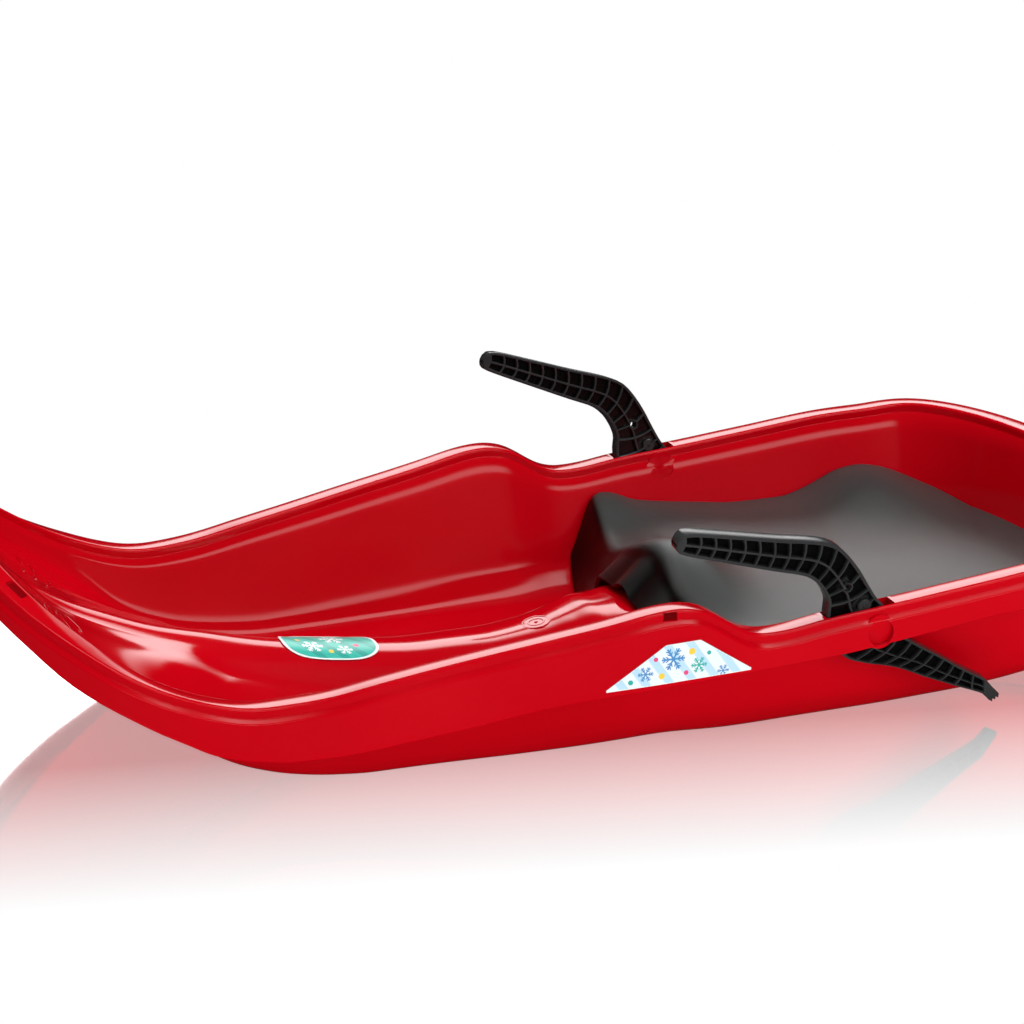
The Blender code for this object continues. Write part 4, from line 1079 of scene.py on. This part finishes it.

# Colour, darker colour, roughness, its spread, grain size, grain depth, wave depth
RED = ((0.52, 0.0, 0.0055), (0.49, 0.0, 0.005), 0.10, 0.012, 900, 0.012, 0.05)
GREY = ((0.040, 0.044, 0.042), (0.035, 0.038, 0.037), 0.40, 0.03, 1500, 0.35, 0.05)
# Painted shade: the near-black laid on the seat's forward faces
GREY_FRONT_SHADE = (0.001, 0.001, 0.001)
BLACK = ((0.034, 0.035, 0.036), (0.026, 0.027, 0.028), 0.22, 0.03, 1100, 0.10, 0.10)
# Painted shade: the near-black laid in the lever's pockets
BLACK_POCKET_SHADE = (0.003, 0.003, 0.003)
STEEL = ((0.55, 0.56, 0.58), (0.45, 0.46, 0.48), 0.30, 0.05, 1800, 0.10, 0.0)


def node(tree, kind, inputs=None, **values):
    """A node with its properties; each input is a plain value or a socket to link."""
    made = tree.nodes.new(kind)
    for key, value in values.items():
        setattr(made, key, value)
    for key, value in (inputs or {}).items():
        if isinstance(value, bpy.types.NodeSocket):
            tree.links.new(value, made.inputs[key])
        else:
            made.inputs[key].default_value = value
    return made


def math_node(tree, operation, *values):
    return node(tree, "ShaderNodeMath", dict(enumerate(values)), operation=operation).outputs[0]


def map_range(tree, value, begin, end, low=0.0, high=1.0, kind="LINEAR"):
    """A value carried from one range to another, and held at its ends."""
    inputs = {"Value": value, "From Min": begin, "From Max": end, "To Min": low, "To Max": high}
    return node(tree, "ShaderNodeMapRange", inputs, interpolation_type=kind).outputs["Result"]


def split_place(tree, coordinates):
    """X, Y and Z of one of the texture coordinates."""
    place = node(tree, "ShaderNodeTexCoord").outputs[coordinates]
    return node(tree, "ShaderNodeSeparateXYZ", {"Vector": place}).outputs


def new_group(name, kind, inputs, outputs):
    """An empty node group with its sockets, each given as (name, type)."""
    group = bpy.data.node_groups.new(name, kind)
    for way, sockets in (("INPUT", inputs), ("OUTPUT", outputs)):
        for label, what in sockets:
            group.interface.new_socket(name=label, in_out=way, socket_type="NodeSocket" + what)
    return group


def make_grain_group():
    """Shared moulded grain: a fine bump and a slow change of gloss, both in object space."""
    group = new_group("moulded_grain", "ShaderNodeTree",
                      [(name, "Float") for name in ("Grain size", "Depth", "Wave depth")],
                      (("Normal", "Vector"), ("Cloud", "Float")))
    put = group.nodes.new("NodeGroupInput").outputs
    place = group.nodes.new("ShaderNodeTexCoord").outputs["Object"]

    def noise(scale, **more):
        return node(group, "ShaderNodeTexNoise", {"Vector": place, "Scale": scale, **more}).outputs["Fac"]

    fine = node(group, "ShaderNodeBump", {"Distance": 0.0006, "Strength": put["Depth"],
                                          "Height": noise(put["Grain size"], Detail=3, Roughness=0.6)})
    slow = node(group, "ShaderNodeBump", {"Distance": 0.001, "Strength": put["Wave depth"],
                                          "Height": noise(24, Detail=1), "Normal": fine.outputs["Normal"]})
    node(group, "NodeGroupOutput", {"Normal": slow.outputs["Normal"], "Cloud": noise(9, Detail=4)})
    return group


def new_material(name, grain_group, grain_size, depth, wave_depth):
    """A material with the shared grain, its node tree, its shader and the grain's outputs."""
    mat = bpy.data.materials.new(name)
    mat.use_nodes = True
    tree = mat.node_tree
    tree.nodes.clear()
    grain = node(tree, "ShaderNodeGroup", node_tree=grain_group)
    for label, value in (("Grain size", grain_size), ("Depth", depth), ("Wave depth", wave_depth)):
        grain.inputs[label].default_value = value
    shader = node(tree, "ShaderNodeBsdfPrincipled", {"Normal": grain.outputs["Normal"]})
    node(tree, "ShaderNodeOutputMaterial", {"Surface": shader.outputs["BSDF"]})
    return mat, tree, shader, grain.outputs


def plastic(name, grain_group, colour, dark, roughness, spread, grain_size, depth, wave_depth):
    """Moulded plastic whose colour and gloss change slowly over the surface."""
    mat, tree, shader, grain = new_material(name, grain_group, grain_size, depth, wave_depth)
    ramp = node(tree, "ShaderNodeValToRGB", {"Fac": grain["Cloud"]})
    for i, tone in enumerate((dark, colour)):
        ramp.color_ramp.elements[i].position = CLOUD_TONES[i]
        ramp.color_ramp.elements[i].color = (*tone, 1)
    tree.links.new(ramp.outputs["Color"], shader.inputs["Base Color"])
    rough = map_range(tree, grain["Cloud"], *CLOUD_SPAN, roughness - spread, roughness + spread)
    tree.links.new(rough, shader.inputs["Roughness"])
    return mat


def make_flake_group():
    """Mask of a six-armed snowflake around zero, with two pairs of twigs on each arm."""
    group = new_group("snowflake", "ShaderNodeTree", [(name, "Float") for name in ("Across", "Up", "Size")],
                      (("Mask", "Float"),))
    put = group.nodes.new("NodeGroupInput").outputs

    def calc(operation, *values):
        return math_node(group, operation, *values)

    across = calc("DIVIDE", put["Across"], put["Size"])
    up = calc("DIVIDE", put["Up"], put["Size"])
    reach = calc("SQRT", calc("ADD", calc("MULTIPLY", across, across), calc("MULTIPLY", up, up)))
    turn = calc("PINGPONG", calc("ARCTAN2", up, across), math.pi / 6)
    along = calc("MULTIPLY", reach, calc("COSINE", turn))
    aside = calc("MULTIPLY", reach, calc("SINE", turn))
    mask = calc("LESS_THAN", aside, FLAKE_LINE)
    for start in FLAKE_TWIGS_AT:
        line = calc("SUBTRACT", calc("SUBTRACT", along, aside), start)
        twig = calc("LESS_THAN", calc("ABSOLUTE", line), FLAKE_LINE)
        mask = calc("MAXIMUM", mask, calc("MULTIPLY", twig, calc("LESS_THAN", aside, FLAKE_TWIG)))
    mask = calc("MULTIPLY", mask, calc("LESS_THAN", reach, 1.0))
    node(group, "NodeGroupOutput", {"Mask": mask})
    return group


def lay_colour(tree, mask, under, over):
    """One colour over another where the mask is 1."""
    under, over = ((*colour, 1) if isinstance(colour, tuple) else colour for colour in (under, over))
    return node(tree, "ShaderNodeMix", {"Factor": mask, 6: under, 7: over}, data_type="RGBA").outputs[2]


def repaint(mat, mask, colour):
    """Lay a colour over a finished material's own where the mask is 1."""
    tree = mat.node_tree
    base = tree.nodes["Principled BSDF"].inputs["Base Color"]
    tree.links.new(lay_colour(tree, mask, base.links[0].from_socket, colour), base)


def paint_front_shade(mat, colour):
    """Painted shade: a darker colour on faces that look forward, in place of the shade that falls on the
    seat's front.
    """
    tree = mat.node_tree
    normal = node(tree, "ShaderNodeNewGeometry").outputs["Normal"]
    forward = node(tree, "ShaderNodeSeparateXYZ", {"Vector": normal}).outputs["X"]
    repaint(mat, map_range(tree, forward, *FRONT_SHADE_FACES, kind="SMOOTHSTEP"), colour)


def paint_pocket_shade(mat, colour):
    """Painted shade: a darker colour where the mesh marks a pocket, in place of the shade inside the lever's
    pockets.
    """
    mark = node(mat.node_tree, "ShaderNodeAttribute", attribute_name="pocket_shade")
    repaint(mat, mark.outputs["Fac"], colour)


def printed_film(name, grain_group, flake_group, up_axis, base, band, flakes, dots, border):
    """Film with slanting bands, snowflakes and dots, and a border along its outline."""
    mat, tree, shader, grain = new_material(name, grain_group, *FILM_GRAIN)
    shader.inputs["Roughness"].default_value = FILM_ROUGHNESS
    place = split_place(tree, "Object")
    across, up = place["X"], place[up_axis]

    def calc(operation, *values):
        return math_node(tree, operation, *values)

    slant = calc("ADD", across, calc("MULTIPLY", up, BAND_SLANT))
    wave = calc("SINE", calc("MULTIPLY", slant, 2 * math.pi / BAND_PITCH))
    colour = lay_colour(tree, calc("GREATER_THAN", wave, BAND_LEVEL), base, band)
    colour = lay_colour(tree, calc("MULTIPLY", grain["Cloud"], BAND_CLOUD), colour, band)
    for x, z, size, ink in flakes:
        flake = node(tree, "ShaderNodeGroup", node_tree=flake_group)
        tree.links.new(calc("SUBTRACT", across, x), flake.inputs["Across"])
        tree.links.new(calc("SUBTRACT", up, z), flake.inputs["Up"])
        flake.inputs["Size"].default_value = size
        colour = lay_colour(tree, flake.outputs["Mask"], colour, ink)
    for x, z, radius, ink in dots:
        aside = calc("SUBTRACT", across, x)
        above = calc("SUBTRACT", up, z)
        square = calc("ADD", calc("MULTIPLY", aside, aside), calc("MULTIPLY", above, above))
        colour = lay_colour(tree, calc("LESS_THAN", square, radius**2), colour, ink)
    margin = node(tree, "ShaderNodeAttribute", attribute_name="margin").outputs["Fac"]
    colour = lay_colour(tree, calc("LESS_THAN", margin, border), colour, PRINT_WHITE)
    tree.links.new(colour, shader.inputs["Base Color"])
    return mat


def motifs(ends, level, rows):
    """Motifs given as (share along the sticker, above the level, size, ink), at their places."""
    return [(mix(*ends, share) + DATUM_X, level + rise, size, ink) for share, rise, size, ink in rows]


def side_print(grain_group, flake_group):
    """Pale blue and white, with blue snowflakes and small dots of three colours."""
    middle = sum(side_sticker_span(sum(SIDE_STICKER) / 2)) / 2
    flakes = motifs(SIDE_STICKER, middle,
                    ((0.26, -0.0060, 0.0056, PRINT_BLUE), (0.45, 0.0030, 0.0085, PRINT_BLUE),
                     (0.63, -0.0035, 0.0060, PRINT_TEAL), (0.80, -0.0100, 0.0045, PRINT_BLUE)))
    dots = motifs(SIDE_STICKER, middle,
                  ((0.33, 0.0040, 0.0016, PRINT_PINK), (0.37, -0.0085, 0.0022, PRINT_YELLOW),
                   (0.54, -0.0080, 0.0017, PRINT_PINK), (0.58, 0.0070, 0.0024, PRINT_YELLOW),
                   (0.70, 0.0045, 0.0015, PRINT_TEAL), (0.16, -0.0110, 0.0018, PRINT_TEAL)))
    return printed_film("white_film_finish", grain_group, flake_group, "Z", (0.80, 0.86, 0.90),
                        (0.47, 0.70, 0.86), flakes, dots, SIDE_BORDER)


def ridge_print(grain_group, flake_group):
    """Teal, with pale snowflakes and a few dots."""
    flakes = motifs(RIDGE_STICKER, 0,
                    ((0.30, -0.0080, 0.0080, PRINT_WHITE), (0.62, -0.0125, 0.0060, PRINT_WHITE),
                     (0.55, 0.0070, 0.0095, PRINT_WHITE)))
    dots = motifs(RIDGE_STICKER, 0,
                  ((0.47, -0.0150, 0.0020, PRINT_YELLOW), (0.76, -0.0060, 0.0024, PRINT_PINK),
                   (0.18, 0.0020, 0.0018, PRINT_YELLOW), (0.42, 0.0150, 0.0020, PRINT_PINK)))
    return printed_film("teal_film_finish", grain_group, flake_group, "Y", (0.035, 0.50, 0.40),
                        (0.02, 0.36, 0.30), flakes, dots, RIDGE_BORDER)


def main():
    grain = make_grain_group()
    flake = make_flake_group()
    red = plastic("hull_plastic_finish", grain, *RED)
    grey = plastic("seat_plastic_finish", grain, *GREY)
    # Painted shade on the seat's forward faces
    paint_front_shade(grey, GREY_FRONT_SHADE)
    black = plastic("lever_plastic_finish", grain, *BLACK)
    # Painted shade in the lever's pockets
    paint_pocket_shade(black, BLACK_POCKET_SHADE)
    steel = plastic("pin_steel_finish", grain, *STEEL)
    steel.node_tree.nodes["Principled BSDF"].inputs["Metallic"].default_value = 1.0
    white = side_print(grain, flake)
    teal = ridge_print(grain, flake)

    hull = make_hull(red)
    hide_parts("hull")
    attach(hull, "sled")
    seat = make_seat(grey)
    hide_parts("seat")
    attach(seat, "sled")
    for label, side, lift, body in (("left", LEFT, 0.0, "left_lever"),
                                    ("right", RIGHT, RIGHT_LEVER_RAISE, "right_lever")):
        lever = make_lever("lever_" + label, side, lift, black)
        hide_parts("brake_lever_" + label)
        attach(lever, body)
        sticker = make_side_sticker("side_film_" + label, side, white)
        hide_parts("side_sticker_" + label)
        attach(sticker, "sled")
    sticker = make_ridge_sticker("ridge_film", teal)
    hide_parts("ridge_sticker")
    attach(sticker, "sled")
    for label in ("left", "right"):
        for name, material in (("pivot_pin_", steel), ("seat_clip_front_", black),
                               ("seat_clip_rear_", black)):
            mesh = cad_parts[name + label].data
            mesh.materials.clear()
            mesh.materials.append(material)


# Stage

# Brightness of the studio in reflections: (degrees round the X axis from level behind, level)
SOFT_BOX_LEVEL = 5.0
SOFT_BOXES = ((0, 0.0), (17.5, 0.02), (21.5, 3.2), (25, 4.0), (38, 4.4), (44, 0.02), (100, 0.01), (105, 2.4),
              (116, 2.4), (121, 0.0), (146, 0.0), (149, 2.0), (153, 2.0), (156, 0.0), (179, 0.0))
SOFT_BOX_SPAN = (-0.05, 0.15, 0.50, 0.66)       # direction X where they begin, are full and end
ROOM_SPAN = (-0.9, 0.3)                         # direction X between which matt faces see the room brighten
ROOM_LEVELS = (0.25, 0.62)
FLOOR_SIZE = 8
FLOOR_DROP = 0.0004
FLOOR_GREY = 0.85
FLOOR_LIGHT = 0.45                              # what the floor gives off to matt faces
FLOOR_IN_GLOSS = 0.005                          # and in reflections
MIRROR_GREY = 0.90
MIRROR_ROUGHNESS = 0.06
MIRROR_VEIL = 0.32                              # white over what the floor mirrors
MIRROR_WAY = (-0.18, -1.0)                      # direction in which the floor's mirror fades
MIRROR_SPAN = (0.122, 0.350)                    # where it begins to fade, and ends
MIRROR_REAR = (-0.20, -0.12)                    # and where it begins behind the object
MIRROR_ENDS = (0.62, 0.85)                      # where it fades beyond both ends of the object
CAMERA_PLACE = (-0.7518, -1.9754, 0.8299)
CAMERA_TURN = math.radians(-20.047)
CAMERA_PITCH = math.radians(18.397)
CAMERA_LENS = 105.47
CAMERA_SENSOR = 36
CAMERA_REACH = 50
# Soft lamps: (name, place, target, width, depth, watts)
LAMPS = (("overhead", (0.1, 0.1, 2.2), (0, 0, 0), 2.4, 1.6, 40),
         ("front", (0.9, -2.4, 1.0), (0, 0, 0.05), 1.4, 1.0, 22))


def add_lamp(name, place, target, width, depth, watts):
    light = bpy.data.lights.new(name, "AREA")
    light.shape = "RECTANGLE"
    light.size = width
    light.size_y = depth
    light.energy = watts
    lamp = bpy.data.objects.new(name, light)
    bpy.context.scene.collection.objects.link(lamp)
    lamp.location = place
    lamp.rotation_euler = (Vector(place) - Vector(target)).to_track_quat("Z", "Y").to_euler()
    lamp.visible_glossy = False


def make_floor():
    """A white floor that mirrors the object softly and looks dark in the object's own gloss."""
    mat = bpy.data.materials.new("floor_finish")
    mat.use_nodes = True
    tree = mat.node_tree
    tree.nodes.clear()
    path = tree.nodes.new("ShaderNodeLightPath").outputs

    def glow(level):
        return node(tree, "ShaderNodeEmission", {"Strength": level}).outputs[0]

    def add(a, b):
        return node(tree, "ShaderNodeAddShader", {0: a, 1: b}).outputs[0]

    def choose(mask, a, b):
        return node(tree, "ShaderNodeMixShader", {0: mask, 1: a, 2: b}).outputs[0]

    mirror = node(tree, "ShaderNodeBsdfAnisotropic",
                  {"Color": (MIRROR_GREY, MIRROR_GREY, MIRROR_GREY, 1), "Roughness": MIRROR_ROUGHNESS})
    pale = node(tree, "ShaderNodeBsdfDiffuse", {"Color": (FLOOR_GREY, FLOOR_GREY, FLOOR_GREY, 1)})
    # The mirror is strongest beside the object and fades toward the camera
    place = split_place(tree, "Object")
    along_x = math_node(tree, "MULTIPLY", place["X"], MIRROR_WAY[0])
    along_y = math_node(tree, "MULTIPLY", place["Y"], MIRROR_WAY[1])
    toward = math_node(tree, "ADD", along_x, along_y)
    aside = math_node(tree, "ABSOLUTE", place["X"])
    strength = math_node(tree, "MULTIPLY", map_range(tree, toward, *MIRROR_SPAN, 1.0, 0.0),
                         map_range(tree, toward, *MIRROR_REAR))
    strength = math_node(tree, "MULTIPLY", strength,
                         map_range(tree, aside, MIRROR_ENDS[1], MIRROR_ENDS[0], kind="SMOOTHSTEP"))
    seen = choose(strength, glow(1.0), add(glow(MIRROR_VEIL), mirror.outputs[0]))
    unseen = choose(path["Is Glossy Ray"], add(pale.outputs[0], glow(FLOOR_LIGHT)), glow(FLOOR_IN_GLOSS))
    node(tree, "ShaderNodeOutputMaterial", {"Surface": choose(path["Is Camera Ray"], unseen, seen)})
    bm = bmesh.new()
    bmesh.ops.create_grid(bm, x_segments=1, y_segments=1, size=FLOOR_SIZE,
                          matrix=Matrix.Translation((0, 0, -FLOOR_DROP)))
    return add_object("floor", mesh_of(bm, "floor"), mat)


def make_world(scene):
    """White to the camera, an even room to matt faces, and soft boxes round the X axis to glossy ones."""
    world = bpy.data.worlds.new("studio")
    scene.world = world
    world.use_nodes = True
    tree = world.node_tree
    tree.nodes.clear()
    path = tree.nodes.new("ShaderNodeLightPath").outputs
    way = split_place(tree, "Generated")
    # Turn round the X axis: 0 level behind the object, 0.5 overhead, 1 level in front of it
    share = math_node(tree, "DIVIDE", math_node(tree, "ARCTAN2", way["Z"], way["Y"]), math.pi)
    ramp = node(tree, "ShaderNodeValToRGB", {"Fac": share})
    ramp.color_ramp.interpolation = "EASE"
    stops = ramp.color_ramp.elements
    while len(stops) > 1:
        stops.remove(stops[0])
    for i, (turn, level) in enumerate(SOFT_BOXES):
        stop = stops[0] if i == 0 else stops.new(turn / 180)
        stop.position = turn / 180
        stop.color = (*[level / SOFT_BOX_LEVEL] * 3, 1)
    boxes = math_node(tree, "MULTIPLY", ramp.outputs["Color"], SOFT_BOX_LEVEL)
    begin, full, fading, end = SOFT_BOX_SPAN
    for ends in ((begin, full), (end, fading)):
        boxes = math_node(tree, "MULTIPLY", boxes, map_range(tree, way["X"], *ends, kind="SMOOTHSTEP"))
    room = map_range(tree, way["X"], *ROOM_SPAN, *ROOM_LEVELS, "SMOOTHSTEP")
    level = node(tree, "ShaderNodeMix", {"Factor": path["Is Glossy Ray"], 2: room, 3: boxes},
                 data_type="FLOAT")
    level = node(tree, "ShaderNodeMix", {"Factor": path["Is Camera Ray"], 2: level.outputs[0], 3: 1.0},
                 data_type="FLOAT")
    back = node(tree, "ShaderNodeBackground", {"Color": (1, 1, 1, 1), "Strength": level.outputs[0]})
    node(tree, "ShaderNodeOutputWorld", {"Surface": back.outputs["Background"]})


def make_stage():
    scene = bpy.context.scene
    camera = bpy.data.cameras.new("camera")
    camera.sensor_width = CAMERA_SENSOR
    camera.lens = CAMERA_LENS
    camera.clip_end = CAMERA_REACH
    view = bpy.data.objects.new("camera", camera)
    scene.collection.objects.link(view)
    level = math.cos(CAMERA_PITCH)
    way = Vector((math.sin(CAMERA_TURN) * level, -math.cos(CAMERA_TURN) * level, math.sin(CAMERA_PITCH)))
    view.location = CAMERA_PLACE
    view.rotation_euler = way.to_track_quat("Z", "Y").to_euler()
    scene.camera = view

    floor = make_floor()
    make_world(scene)
    for lamp in LAMPS:
        add_lamp(*lamp)
    scene.view_settings.view_transform = "Standard"


main()
make_stage()
